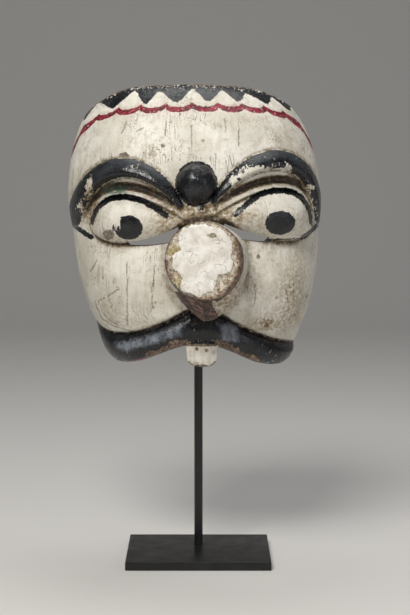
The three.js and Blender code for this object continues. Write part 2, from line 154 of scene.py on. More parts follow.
def lower_edge(s):
    """Height of the mask's lower edge at a share of its half width: jaws, and a notch between them."""
    side = np.abs(s)
    notch = NOTCH_RISE * (1 - fade(0, NOTCH_SHARE, side))
    jaw = JAW_RISE * (np.maximum(0, side - JAW_START) / (1 - JAW_START))**2
    return LOWER_HEIGHT + notch + jaw - LOWER_SKEW * s * fade(0, 0.5, side)


def upper_edge(s):
    corner = (CROWN_DROP - CROWN_SKEW * s) * np.abs(s)**8
    return CROWN_HEIGHT - CROWN_ARCH * s * s - corner


def middle_x(z):
    return MIDDLE_X - LEAN_TO_LEFT * (z - LEAN_FROM)


def shell_points(across, up):
    s = np.sin(across)
    z = lower_edge(s) + (upper_edge(s) - lower_edge(s)) * up
    reach = np.maximum(0, 1 - np.abs(s)**SECTION_POWER)**(1 / SECTION_POWER)
    x = middle_x(z) + read_keys(HALF_WIDTHS, z) * s
    return np.stack([x, RIM_Y - read_keys(DEPTHS, z) * reach, z], -1)


def shell_normals(across, up):
    step, rim = 0.001, math.pi / 2
    right = shell_points(np.minimum(across + step, rim), up)
    left = shell_points(np.maximum(across - step, -rim), up)
    above = shell_points(across, np.minimum(up + step, 1))
    below = shell_points(across, np.maximum(up - step, 0))
    normals = np.cross(right - left, above - below)
    return normals / np.linalg.norm(normals, axis=-1, keepdims=True)


def eye_relief(half, x, z):
    """Relief over the shell in millimetres at one eye: brow, eyeball, socket, lid and crease."""
    distance, share, over = measure(half["brow"], x, z, half["sign"])
    swell = np.sin(math.pi * (0.12 + share * 0.8))**0.55
    reach = read_keys(half["brow_widths"], share) + 0.3
    crest = -0.42 * fade(0, 0.1, share) * fade(1, 0.86, share)
    q = np.clip(over / reach, -1, 1)
    upward = np.abs(q - crest) / (1 - crest)
    downward = np.abs(q - crest) / (1 + crest)
    slope = np.where(q > crest, 0.45 * upward**2 + 0.55 * upward, downward**3.2)
    flank = 1 - np.clip(slope, 0, 1)
    brow = 5.6 * flank**0.72 * swell
    lid_distance, lid_share, lid_over = measure(half["lid"], x, z, half["sign"])
    _, _, foot_over = measure(half["eye_foot"], x, z, half["sign"])
    below = np.maximum(-lid_over, 0)
    above = np.maximum(foot_over + 1.2, 0)
    ball = 8.5 * np.clip(below * above / np.maximum(below + above, 1e-6) / 6.4, 0, 1.3)**0.6
    ends = np.sin(math.pi * np.clip(lid_share, 0, 1))
    socket = 4.8 * np.exp(-((lid_over - 6.0) / 2.9)**2) * ends**0.7
    ledge = 1.2 * np.exp(-((over + reach + 1.4) / 1.3)**2) * ends**0.7 * (lid_over > 4)
    lip = 1.5 * np.exp(-((lid_over - 1.9) / 1.1)**2) * ends**0.4
    crease = 1.1 * np.exp(-(lid_distance / 1.1)**2) * ends**0.6
    carved = ball + brow - socket * (1 - np.clip(brow / 4, 0, 1)) + ledge + lip - crease
    return np.where(x * half["sign"] < -6, 0, carved)


def cheek_relief(half, x, z):
    """Relief in millimetres of one cheek, a broad pad that stands out from the shell."""
    centre_x, centre_z = half["cheek"]
    sideways = np.abs((x - centre_x) / 34)
    upwards = np.abs((z - centre_z) / np.where(z > centre_z, 25, 37))
    return 6.5 * fade(1.05, 0.15, (sideways**2.6 + upwards**2.6)**(1 / 2.6))


def moustache_under(x, z):
    """Millimetres below the moustache's upper edge."""
    left = -measure(LEFT["moustache"], x, z, -1)[2]
    right = -measure(RIGHT["moustache"], x, z, 1)[2]
    side = np.where(x < 2.3, left, right)
    return np.where((x > -4) & (x < 9), 148.5 - z, side)


def red_line(s, z):
    """Height over the middle of the crimson line below the crown, and half the line's width there."""
    angle = np.degrees(np.arcsin(np.clip(s, -1, 1)))
    cusp = np.abs(((angle - RED_CUSP_START) / RED_CUSP_STEP) % 1 - 0.5) * 2
    drop = RED_DROP - 0.9 * s + RED_SIDE_DROP * fade(0.93, 1.0, np.abs(s)) - 2.2 * cusp**3
    return z - upper_edge(s) + drop, RED_LINE_HALF * (1 + 1.1 * fade(0.8, 1.0, np.abs(s)))


def face_relief(x, z, s):
    """All that the carver left standing (over 0) or cut away (under 0), in millimetres."""
    relief = sum(eye_relief(half, x, z) + cheek_relief(half, x, z) for half in HALVES)
    under = moustache_under(x, z)
    groove = 2.3 * np.exp(-((under - 0.5) / 1.7)**2)
    share = np.clip(under / np.maximum(under + z - lower_edge(s), 1e-6), 0, 1)
    band = 5.0 * np.sin(math.pi * share)**0.7
    relief = np.where(under > 0, relief * fade(6, 0, under) + band, relief) - groove
    relief += 3 * np.exp(-((x - 1.5) / 9)**2 - ((z - 203) / 8)**2)
    relief -= 2.2 * fade(3.2, 0, z - lower_edge(s))
    over_red, half_width = red_line(s, z)
    relief += 0.75 * fade(half_width - 0.3, half_width + 0.7, over_red) * fade(0, 1.6, upper_edge(s) - z)
    return relief * (1 - 0.9 * np.abs(s)**14)


def hand_noise(points, size, seed=0.0):
    """Smooth noise between -1 and 1 whose lumps are about size millimetres wide."""
    shift = Vector((seed, 7.3 * seed, -3.1 * seed))
    return np.array([noise.noise(Vector(p) / size + shift) for p in points.reshape(-1, 3)])


def grid_parameters(steps_across, steps_up):
    row = np.linspace(0, 1, steps_up + 1)
    wave = np.sin(2 * math.pi * (row - EYE_ROW)) - math.sin(-2 * math.pi * EYE_ROW)
    up = row - EYE_ROW_DENSITY / (2 * math.pi) * wave
    across = math.pi * (np.linspace(0, 1, steps_across + 1) - 0.5)
    return np.meshgrid(across, up)


def grid_faces(steps_across, steps_up, first, flipped):
    index = first + np.arange((steps_across + 1) * (steps_up + 1)).reshape(steps_up + 1, -1)
    quads = [index[:-1, :-1], index[:-1, 1:], index[1:, 1:], index[1:, :-1]]
    if flipped:
        quads.reverse()
    return np.stack(quads, -1).reshape(-1, 4).tolist()


def grid_border(steps_across, steps_up, first):
    index = first + np.arange((steps_across + 1) * (steps_up + 1)).reshape(steps_up + 1, -1)
    sides = [index[0, :-1], index[:-1, -1], index[-1, :0:-1], index[:0:-1, 0]]
    return np.concatenate(sides).tolist()


def new_object(name, points, faces):
    mesh = bpy.data.meshes.new(name)
    mesh.from_pydata((np.asarray(points, float).reshape(-1, 3) * MM).tolist(), [], faces)
    mesh.validate()
    made = bpy.data.objects.new(name, mesh)
    bpy.context.scene.collection.objects.link(made)
    return made


def carve_shell():
    across, up = grid_parameters(STEPS_ACROSS, STEPS_UP)
    front = shell_points(across, up)
    relief = face_relief(front[..., 0], front[..., 2], np.sin(across))
    facets = 0.32 * hand_noise(front, 17, 1) + 0.12 * hand_noise(front, 5, 2)
    relief += facets.reshape(relief.shape) * (1 - np.abs(np.sin(across))**20)
    front = front + shell_normals(across, up) * relief[..., None]
    back_across, back_up = STEPS_ACROSS // BACK_SHARE, STEPS_UP // BACK_SHARE
    across, up = grid_parameters(back_across, back_up)
    back = shell_points(across, up)
    gouges = 0.55 * np.abs(np.sin(back[..., 2] / 6.5 + 0.9 * np.sin(across * 7))) * np.cos(across)
    inner = np.minimum(up, 1 - up) * 12
    back = back - shell_normals(across, up) * (WALL - gouges * np.clip(inner, 0, 1))[..., None]
    first = front.shape[0] * front.shape[1]
    faces = grid_faces(STEPS_ACROSS, STEPS_UP, 0, False) + grid_faces(back_across, back_up, first, True)
    fine = grid_border(STEPS_ACROSS, STEPS_UP, 0)
    coarse = grid_border(back_across, back_up, first)
    for k, corner in enumerate(coarse):
        nearby = coarse[(k + 1) % len(coarse)]
        f = [fine[(BACK_SHARE * k + i) % len(fine)] for i in range(BACK_SHARE + 1)]
        faces += [(f[0], corner, f[1]), (f[1], corner, nearby, f[2]), (f[2], nearby, f[3])]
    points = np.concatenate([front.reshape(-1, 3), back.reshape(-1, 3)])
    return new_object("carved_mask", points, faces)


def join_or_cut(target, other, operation):
    """Join another closed solid to the target or cut it away, and use the other up."""
    bpy.ops.object.select_all(action="DESELECT")
    target.select_set(True)
    bpy.context.view_layer.objects.active = target
    bpy.ops.object.modifier_add(type="BOOLEAN")
    modifier = target.modifiers[-1]
    modifier.object = other
    modifier.operation = operation
    modifier.solver = "MANIFOLD"
    bpy.ops.object.modifier_apply(modifier=modifier.name)
    bpy.data.objects.remove(other)


# The gaps under the eyeballs, sawn and pared right through the wall so that the wearer can see. Each
# runs from below the middle of the eyeball to just short of the nose.
SLIT_NOSE = 0.94
SLIT_BACK_Y, SLIT_LENGTH = -4.0, 68.0


def slit_cutter(half):
    share = np.linspace(0, 1, CURVE_STEPS + 1)
    above = half["eye_foot"][(share >= half["slit_start"][0]) & (share <= SLIT_NOSE)]
    under = half["slit_foot"][share >= half["slit_start"][1]][::-1]
    outline = np.concatenate([above, under])
    bpy.ops.object.select_all(action="DESELECT")
    bpy.ops.mesh.primitive_circle_add(vertices=len(outline), radius=1, fill_type="NGON")
    cutter = bpy.context.object
    for vertex, (x, z) in zip(cutter.data.vertices, outline):
        vertex.co = Vector((x, SLIT_BACK_Y, z)) * MM
    bpy.ops.object.mode_set(mode="EDIT")
    bpy.ops.mesh.select_all(action="SELECT")
    bpy.ops.mesh.extrude_region_move(TRANSFORM_OT_translate={"value": (0, -SLIT_LENGTH * MM, 0)})
    bpy.ops.mesh.select_all(action="SELECT")
    bpy.ops.mesh.normals_make_consistent(inside=False)
    bpy.ops.object.mode_set(mode="OBJECT")
    return cutter


mask = carve_shell()
for half in HALVES:
    join_or_cut(mask, slit_cutter(half), "DIFFERENCE")

# The nose: a blunt bulb with a keel below, carved in the same block. Its end was sawn off flat,
# filled with white gesso and has worn down to the wood all round its rim.
NOSE_Z = 182.0
# By distance forward: middle, half width, rise, fall, and how pointed the keel and the top are.
NOSE_SECTIONS = [
    (38, 4, 20, 19, 30, 1.2, 1.15), (50, 4.5, 22.5, 19.3, 34, 1.4, 1.2),
    (62, 4.7, 23.2, 19.8, 36, 1.5, 1.2), (72, 4.3, 22.8, 20.4, 31.5, 1.45, 1.15),
    (80, 3.7, 21.8, 20.9, 25.5, 1.25, 1.05), (84.2, 3.2, 20.9, 21.1, 21.5, 1.05, 1),
]
NOSE_KEEL_SKEW = 0.12
NOSE_FACE, NOSE_RIM = 85.0, 84.2
NOSE_FACE_X, NOSE_FACE_HALF, NOSE_FACE_TALL = 3.2, 20.9, 21.3
NOSE_SIDES, NOSE_RINGS, NOSE_FACE_RINGS = 132, 36, 26
# Width in mm of the bare border round the gesso, by the angle in degrees from the viewer's right.
BORDER = [
    (-180, 4), (-170, 3.6), (-147, 6.6), (-139, 5.6), (-131, 1.0), (-119, 0.4), (-110, 2.1), (-96, 1.7),
    (-85, 4.6), (-71, 4.8), (-62, 7.6), (-45, 9.6), (-30, 6.2), (-15, 5.0), (5, 6.0), (14, 5.8), (27, 3.5),
    (58, 1.5), (80, 2.0), (97, 1.9), (118, 0.9), (135, 2.4), (149, 5.1), (155, 7.4), (164, 5.6), (180, 4),
]


def skin_rings(name, rings):
    """A closed skin over rings that run along -Y, each with the same number of points."""
    count = len(rings[0])
    points = np.concatenate([*rings, [rings[0].mean(0)], [rings[-1].mean(0)]])
    start, end = len(points) - 2, len(points) - 1
    faces = []
    for i in range(count):
        j = (i + 1) % count
        last = (len(rings) - 1) * count
        faces += [(start, j, i), (end, last + i, last + j)]
        faces += [(r + i, r + j, r + count + j, r + count + i) for r in range(0, last, count)]
    return new_object(name, points, faces)


def nose_ring(forward, share=1.0):
    columns = np.array(NOSE_SECTIONS, float)
    middle, wide, rise, fall, keel, shoulder = (
        float(read_keys(list(zip(columns[:, 0], columns[:, i])), np.array(forward))) for i in range(1, 7)
    )
    turn = np.linspace(0, 2 * math.pi, NOSE_SIDES, endpoint=False)
    c, s = np.cos(turn), np.sin(turn)
    sideways = np.sign(c) * np.abs(c)**np.where(s < 0, keel - NOSE_KEEL_SKEW * np.sign(c), shoulder)
    x = middle + share * wide * sideways
    z = NOSE_Z + share * np.where(s > 0, rise, fall) * s
    return np.stack([x, np.full_like(x, -forward), z], -1)


def angle_round_face(x, z):
    """Degrees round the nose's sawn end, from the viewer's right and up over the top."""
    return np.degrees(np.arctan2(z - NOSE_Z, x - NOSE_FACE_X))


def in_from_rim(x, z):
    """Millimetres in from the rim of the sawn end, and the width of the bare border there."""
    radius = np.hypot((x - NOSE_FACE_X) / NOSE_FACE_HALF, (z - NOSE_Z) / NOSE_FACE_TALL)
    return (1 - radius) * 21, read_keys(BORDER, angle_round_face(x, z))


def carve_nose():
    rings = [nose_ring(forward) for forward in np.linspace(NOSE_SECTIONS[0][0], NOSE_RIM, NOSE_RINGS)]
    for ring in rings[4:]:
        chiselled = fade(170, 156, ring[:, 2]) * fade(13, 3, ring[:, 0] + 0.3 * (ring[:, 2] - 160))
        inward = np.array([4.0, 0, NOSE_Z]) - ring * np.array([1, 0, 1])
        inward /= np.linalg.norm(inward, axis=1, keepdims=True)
        cuts = 1.1 * np.abs(hand_noise(ring * np.array([1.0, 0.45, 1.6]), 4.5, 3)) * chiselled
        ring += inward * (cuts + 0.2 + 0.35 * hand_noise(ring, 12, 4))[:, None]
    for share in np.linspace(0.985, 0.02, NOSE_FACE_RINGS)**1.25:
        ring = nose_ring(NOSE_RIM, share)
        into, border = in_from_rim(ring[:, 0], ring[:, 2])
        worn = fade(0.9, -0.9, into - border - 1.1 * hand_noise(ring, 5, 11))
        broken = 0.75 + 0.6 * hand_noise(ring, 3.2, 7) + 0.5 * fade(2.2, 0, into)
        lumps = 0.28 * (1 + hand_noise(ring, 8, 5)) + 0.14 * hand_noise(ring, 2.8, 6)
        ring[:, 1] = -NOSE_FACE + np.clip(lumps + worn * broken, 0, 2.2)
        rings.append(ring)
    return skin_rings("nose", rings)


join_or_cut(mask, carve_nose(), "UNION")

# The knob between the brows: a round boss, pinched to a drop below, cut with a knife in flat facets.
KNOB_X, KNOB_Z, KNOB_RADIUS, KNOB_DROP, KNOB_PINCH = -0.9, 221.8, 11.6, 13.0, 0.28
KNOB_ROOT, KNOB_FRONT, KNOB_FULLNESS, KNOB_FACETS = 41.0, 53.4, 0.9, 34
KNOB_RINGS, KNOB_SIDES = 26, 72


def knife_cuts(count):
    """Directions spread evenly round a ball, one for each flat that the knife left."""
    k = np.arange(count) + 0.5
    height = 1 - 2 * k / count
    turn = math.pi * (1 + 5**0.5) * k + 0.4 * np.sin(3.0 * k)
    level = np.sqrt(1 - height**2)
    return np.stack([level * np.cos(turn), level * np.sin(turn), height], -1)


def carve_knob():
    rings = []
    for tilt in np.linspace(0, 0.97 * math.pi / 2, KNOB_RINGS):
        share = math.cos(tilt)**KNOB_FULLNESS
        turn = np.linspace(0, 2 * math.pi, KNOB_SIDES, endpoint=False)
        c, s = np.cos(turn), np.sin(turn)
        narrow = np.where(s < 0, 1 - KNOB_PINCH * s * s, 1)
        reach = np.where(s < 0, KNOB_DROP, KNOB_RADIUS)
        forward = KNOB_ROOT + (KNOB_FRONT - KNOB_ROOT) * math.sin(tilt)
        x = KNOB_X + KNOB_RADIUS * share * narrow * c
        ring = np.stack([x, np.full_like(x, -forward), KNOB_Z + reach * share * s], -1)
        away = np.stack([math.cos(tilt) * c, np.full_like(c, -math.sin(tilt)), math.cos(tilt) * s], -1)
        nearest_cut = np.max(away @ knife_cuts(KNOB_FACETS).T, axis=1)
        flat = np.minimum(0.975 / nearest_cut - 1, 0.03)
        rings.append(ring + away * KNOB_RADIUS * 0.8 * flat[:, None])
    return skin_rings("knob", rings)


join_or_cut(mask, carve_knob(), "UNION")

# The tooth: a square peg left standing under the middle of the moustache, its edges rubbed round and
# its two lower corners knocked off.
TOOTH_X, TOOTH_TOP, TOOTH_FOOT, TOOTH_TOP_HALF, TOOTH_FOOT_HALF = 2.2, 136.0, 118.8, 9.4, 8.6
TOOTH_BACK_Y, TOOTH_FRONT_Y, TOOTH_CUTS = -32.0, -43.0, 18


def carve_tooth():
    middle = Vector((TOOTH_X, (TOOTH_BACK_Y + TOOTH_FRONT_Y) / 2, (TOOTH_TOP + TOOTH_FOOT) / 2))
    half = Vector((TOOTH_TOP_HALF, (TOOTH_BACK_Y - TOOTH_FRONT_Y) / 2, (TOOTH_TOP - TOOTH_FOOT) / 2))
    bpy.ops.object.select_all(action="DESELECT")
    bpy.ops.mesh.primitive_cube_add(size=2)
    tooth = bpy.context.object
    bpy.ops.object.mode_set(mode="EDIT")
    bpy.ops.mesh.select_all(action="SELECT")
    bpy.ops.mesh.subdivide(number_cuts=TOOTH_CUTS)
    bpy.ops.object.mode_set(mode="OBJECT")
    for vertex in tooth.data.vertices:
        x, y, z = vertex.co
        squareness = 5.5 + min(2.3 * z, 0)
        outline = (abs(x)**squareness + abs(z)**squareness)**(1 / squareness)
        flatness = (outline**7 + abs(y)**7)**(1 / 7)
        shrink = max(abs(x), abs(y), abs(z)) / flatness
        taper = 1 - (1 - TOOTH_FOOT_HALF / TOOTH_TOP_HALF) * (1 - z) / 2
        place = Vector((x * shrink * half.x * taper, y * shrink * half.y, z * shrink * half.z)) + middle
        dent = 0.35 * noise.noise(place / 4.2) + 0.15 * noise.noise(place / 1.6) - 0.12
        vertex.co = (place + (place - middle).normalized() * dent) * MM
    return tooth


join_or_cut(mask, carve_tooth(), "UNION")

# Behind the nose the hollow goes deeper, cut with a round gouge to make room for the wearer's nose.
NOSE_HOLLOW_X, NOSE_HOLLOW_Z, NOSE_HOLLOW_RADIUS, NOSE_HOLLOW_TIP = 4.0, 180.0, 15.0, 8.0
NOSE_HOLLOW_START, NOSE_HOLLOW_WIDE, NOSE_HOLLOW_END, NOSE_HOLLOW_SIDES = 22.0, 46.0, 62.0, 36


def nose_hollow_cutter():
    rings = []
    places = [NOSE_HOLLOW_START, 34.0, NOSE_HOLLOW_WIDE, 51.0, 56.0, 60.0, NOSE_HOLLOW_END]
    for forward in places:
        narrowing = fade(NOSE_HOLLOW_WIDE, NOSE_HOLLOW_END + 4, forward)
        radius = NOSE_HOLLOW_RADIUS + (NOSE_HOLLOW_TIP - NOSE_HOLLOW_RADIUS) * narrowing
        turn = np.linspace(0, 2 * math.pi, NOSE_HOLLOW_SIDES, endpoint=False)
        wave = radius * (1 + 0.015 * np.sin(9 * turn + forward))
        x, z = NOSE_HOLLOW_X + wave * np.cos(turn), NOSE_HOLLOW_Z + wave * np.sin(turn)
        rings.append(np.stack([x, np.full_like(x, -forward), z], -1))
    return skin_rings("nose_hollow", rings)


join_or_cut(mask, nose_hollow_cutter(), "DIFFERENCE")
bpy.ops.object.select_all(action="DESELECT")
mask.select_set(True)
bpy.context.view_layer.objects.active = mask
bpy.ops.object.shade_smooth_by_angle(angle=math.radians(42))

# The paint: attributes hold, in millimetres, how far each point lies inside the edge of a colour.
# The material below turns them into crisp edges, a little ragged from the brush.
points = np.array([vertex.co for vertex in mask.data.vertices]) / MM
px, py, pz = points.T
UNPAINTED = -30.0
DAB_X, DAB_HALF = -36.0, 6.5
LID_LINE_HALF = 1.75
# Middle, half width and half height of each pupil, and the brush strokes: two ends and half the width.
PUPILS = [(-38.6, 197.4, 8.1, 6.9), (45.8, 199.9, 8.6, 6.8)]
STROKES = [
    ((-73.6, 197.2), (-61.0, 190.9), 1.5), ((59.3, 190.6), (70.6, 197.6), 1.6),
    ((38.5, 190.4), (59.5, 190.3), 0.45), ((-46.5, 196.8), (-45.2, 200.6), 1.3),
]
# The black that runs down below the knob: where, how low, and half the width.
DRIPS = [(2.2, 209.0, 1.7), (-5.2, 210.4, 1.0), (-1.6, 209.6, 0.9)]
# How far the black reaches below the crown, by the angle round the head in degrees.
ZIGZAG = [
    (-90, 4), (-86, 1.2), (-76, 7), (-67.4, 1.2), (-47.4, 11.2), (-37.7, 2.4), (-25.5, 11.1), (-20, 3.6),
    (-7.7, 10.5), (1.7, 2.7), (9.8, 9.8), (20.5, 3.2), (27.7, 9.5), (37, 4.2), (48, 8.9), (58.1, 2.4),
    (66.6, 7), (77, 1), (84, 5), (90, 3),
]


def side_share(x, z):
    return np.clip((x - middle_x(z)) / read_keys(HALF_WIDTHS, z), -1, 1)


def lid_paint(half, x, z):
    distance, share, over = measure(half["lid"], x, z, half["sign"])
    drop = half["line_drop"] * fade(0.6, 0.93, share)
    width = LID_LINE_HALF * (0.8 + 0.2 * np.sin(math.pi * share))
    off_line = np.where((share > 0) & (share < 1), np.abs(over + drop), distance + drop)
    return np.minimum(width - off_line, (0.885 - share) * 60)


def brow_paint(half, x, z):
    distance, share, over = measure(half["brow"], x, z, half["sign"])
    return read_keys(half["brow_widths"], share) + 0.25 * (over > 0) - distance


def stroke_paint(stroke, x, z):
    start, end, width = np.array(stroke[0]), np.array(stroke[1]), stroke[2]
    along = end - start
    t = np.clip(((x - start[0]) * along[0] + (z - start[1]) * along[1]) / (along @ along), 0, 1)
    return width - np.hypot(x - start[0] - t * along[0], z - start[1] - t * along[1])


def zigzag_paint(x, z):
    """The black above the white points, with the tips of both a little rounded by the brush."""
    s = side_share(x, z)
    angle = np.degrees(np.arcsin(s))
    places, drops = np.array(ZIGZAG, float).T
    i = np.clip(np.searchsorted(places, angle, side="right") - 1, 0, len(places) - 2)
    t = (angle - places[i]) / (places[i + 1] - places[i])
    foot = drops[i] + (drops[i + 1] - drops[i]) * (0.45 * t + 0.55 * fade(0, 1, t))
    return (foot - (upper_edge(s) - z)) * 0.75


def red_paint(x, z):
    over_red, half_width = red_line(side_share(x, z), z)
    return half_width - np.abs(over_red)


def wall_depth(x, y, z):
    """Millimetres under the shell's outer surface, from its section."""
    s = np.abs((x - middle_x(z)) / read_keys(HALF_WIDTHS, z))
    reach = np.abs((RIM_Y - y) / read_keys(DEPTHS, z))
    return (1 - (s**SECTION_POWER + reach**SECTION_POWER)**(1 / SECTION_POWER)) * 62


on_nose = (py < -48.5) & (np.hypot((px - 4.5) / 25, (pz - 177) / 33) < 1)
in_nose_hollow = (np.hypot(px - NOSE_HOLLOW_X, pz - NOSE_HOLLOW_Z) < NOSE_HOLLOW_RADIUS + 0.6) & (py > -63)
on_nose &= ~in_nose_hollow
on_tooth = (np.abs(px - TOOTH_X) < TOOTH_TOP_HALF + 0.2) & (pz < 131.6) & (py < -30)
under = moustache_under(px, pz)
over_lower_edge = pz - lower_edge(side_share(px, pz))
knob_paint = KNOB_RADIUS + 0.2 - np.hypot(px - KNOB_X, (pz - KNOB_Z) * 0.93)
for drip_x, drip_foot, drip_half in DRIPS:
    drip = ((drip_x, 214), (drip_x, drip_foot), drip_half)
    knob_paint = np.maximum(knob_paint, stroke_paint(drip, px, pz))
black = np.full(len(points), UNPAINTED)
for half in HALVES:
    black = np.maximum(black, brow_paint(half, px, pz))
    black = np.maximum(black, lid_paint(half, px, pz))
for x, z, wide, tall in PUPILS:
    black = np.maximum(black, (1 - np.hypot((px - x) / wide, (pz - z) / tall)) * 7.5)
for stroke in STROKES:
    black = np.maximum(black, stroke_paint(stroke, px, pz))
black = np.maximum(black, zigzag_paint(px, pz))
black = np.maximum(black, knob_paint)
black = np.maximum(black, under)
black = np.where(on_nose | on_tooth, UNPAINTED, black)

# The moustache's left lobe has a dab of crimson on its lower edge, over a gap in the black.
black_gap = 1 - np.hypot((px - DAB_X) / DAB_HALF, (over_lower_edge - 0.6) / 1.9)
black = np.where((under > 0) & (black_gap > 0), -1, black)
red_dab = 3 * (1 - np.hypot((px - DAB_X) / DAB_HALF, (over_lower_edge - 0.9) / 2.4))
red = np.where(on_nose | on_tooth, UNPAINTED, red_paint(px, pz))
red = np.maximum(red, np.where(under > 0, red_dab, UNPAINTED))

# Grime and painted shade sit where the relief is lower than what lies around it and round the roots of the
# nose and the tooth. A flat lattice of the relief, with a point every millimetre, is blurred to find those
# places.
LATTICE, LATTICE_LEFT, LATTICE_LOW = 1.0, -80, 112
lattice_x, lattice_z = np.meshgrid(np.arange(LATTICE_LEFT, 80, LATTICE), np.arange(LATTICE_LOW, 284, LATTICE))
lattice_relief = face_relief(lattice_x, lattice_z, side_share(lattice_x, lattice_z))


def blurred(values, size):
    kernel = np.exp(-0.5 * (np.arange(-3 * size, 3 * size + 1) / size)**2)
    kernel /= kernel.sum()
    padded = np.pad(values, 3 * size, mode="edge")
    rows = np.apply_along_axis(lambda line: np.convolve(line, kernel, "valid"), 1, padded)
    return np.apply_along_axis(lambda line: np.convolve(line, kernel, "valid"), 0, rows)


def read_lattice(values, x, z):
    i = np.clip((x - LATTICE_LEFT) / LATTICE, 0, values.shape[1] - 2)
    j = np.clip((z - LATTICE_LOW) / LATTICE, 0, values.shape[0] - 2)
    i0, j0 = i.astype(int), j.astype(int)
    u, v = i - i0, j - j0
    lower = values[j0, i0] * (1 - u) + values[j0, i0 + 1] * u
    upper = values[j0 + 1, i0] * (1 - u) + values[j0 + 1, i0 + 1] * u
    return lower * (1 - v) + upper * v


carved = read_lattice(lattice_relief, px, pz)
wide_hollow = fade(0.6, 3.6, read_lattice(blurred(lattice_relief, 5) - lattice_relief, px, pz))
tight_hollow = np.clip(read_lattice(blurred(lattice_relief, 2) - lattice_relief, px, pz) / 0.9, 0, 1)
dirt = np.where(on_nose | on_tooth, 0, 0.72 * wide_hollow + 0.55 * tight_hollow)
nose_root = np.abs(np.hypot((px - 4.5) / 23.5, (pz - 180) / np.where(pz > 180, 23, 34)) - 1)
# A painted shadow along the top of the nose, between the eyes.
shadow_over_nose = 0.8 * fade(0.13, 0.02, nose_root) * fade(188, 197, pz)
dirt += (0.34 * fade(0.2, 0, nose_root) + shadow_over_nose) * fade(-62, -48, py)
# Painted shade round the root of the tooth, under the moustache.
tooth_root = np.maximum(np.abs(px - TOOTH_X) - TOOTH_TOP_HALF, 131.6 - pz)
dirt += 0.9 * fade(1.6, 0.2, np.abs(tooth_root)) * fade(118, 123, pz) * fade(135, 132, pz)

# Where the paint has gone: the sawn nose's border, its underside, the moustache's lower edge, chips.
# Each chip has its middle, half its width and half its height.
ragged = hand_noise(points, 5, 11)
fine_ragged = hand_noise(points, 1.8, 12)
into, border = in_from_rim(px, pz)
on_face = on_nose & (py < -81.5) & (into > -0.6)
bare = np.where(on_face, border - into + 1.1 * ragged + 0.5 * fine_ragged, -6.0)
underside = fade(169, 160, pz) * fade(9, 5, px + 0.45 * (pz - 160)) * fade(-56, -62, py)
bare = np.where(on_nose & ~on_face, (underside - 0.5) * 9 + 2.2 * ragged + fine_ragged, bare)
around = angle_round_face(px, pz)
worn_back = 0.8 + 3.6 * fade(-80, -110, around) + 3.0 * fade(150, 175, around)
worn_back += 1.3 * fade(-85, -70, around) * fade(5, -20, around)
rim_wear = worn_back + 1.6 * ragged + 0.8 * fine_ragged - (py + NOSE_RIM)
bare = np.where(on_nose & ~on_face, np.maximum(bare, rim_wear), bare)
dark_rim = 2.6 * fade(-75, -40, around) * fade(50, 15, around) + 1.2 * fade(-60, -100, around) - 0.8
inner_lobe = fade(38, 26, np.abs(px - 1)) * fade(6, 9, np.abs(px - 2))
edge_wear = 0.9 + 3.6 * inner_lobe + 3.0 * ragged + 1.4 * fine_ragged - over_lower_edge
crown_wear = 0.5 + 1.3 * ragged + 0.6 * fine_ragged - (upper_edge(side_share(px, pz)) - pz)
edge_wear = np.maximum(edge_wear, crown_wear)
edge_wear -= 7 * fade(-1.5, 0.5, red_dab)
bare = np.maximum(bare, np.where(on_nose | on_tooth, -6, edge_wear))
tooth_wear = 1.2 + 1.6 * ragged + fine_ragged - (pz - TOOTH_FOOT) + 2.6 * fade(4, 8, np.abs(px - TOOTH_X))
bare = np.where(on_tooth, np.maximum(bare, tooth_wear), bare)
CHIPS = [
    (-40.9, 237.1, 2.6, 1.7), (-19.5, 242.6, 1.4, 1.2), (34.1, 180.8, 1.5, 1.2), (2.8, 246.0, 0.8, 0.6),
    (7.7, 195.4, 2.3, 1.3), (-6.9, 200.4, 1.4, 1.1), (-50.2, 193.2, 3.3, 3.0),
]
for x, z, wide, tall in CHIPS:
    chip = (1 - np.hypot((px - x) / wide, (pz - z) / tall)) * 0.5 * (wide + tall)
    chip += 0.9 * fine_ragged + 0.5 * ragged - 0.2
    bare = np.maximum(bare, np.where(on_nose & ~on_face, -6, chip))


def spots(places, power=2):
    """The sum of soft spots, each with its middle, half width, half height and depth."""
    return sum(
        depth * np.exp(-np.abs((px - x) / wide)**power - np.abs((pz - z) / tall)**power)
        for x, z, wide, tall, depth in places
    )


shallow = spots([(-50.2, 193.2, 3.4, 3.1, 1), (-40.9, 237.1, 2.8, 1.9, 1)], 4)
shallow += spots([(7.7, 195.4, 2.4, 1.5, 1), (-6.9, 200.4, 1.6, 1.3, 1)], 4) * on_face
red_ground = np.where(on_nose, 0.85, 0.0) + 0.4 * inner_lobe * (under > 0)
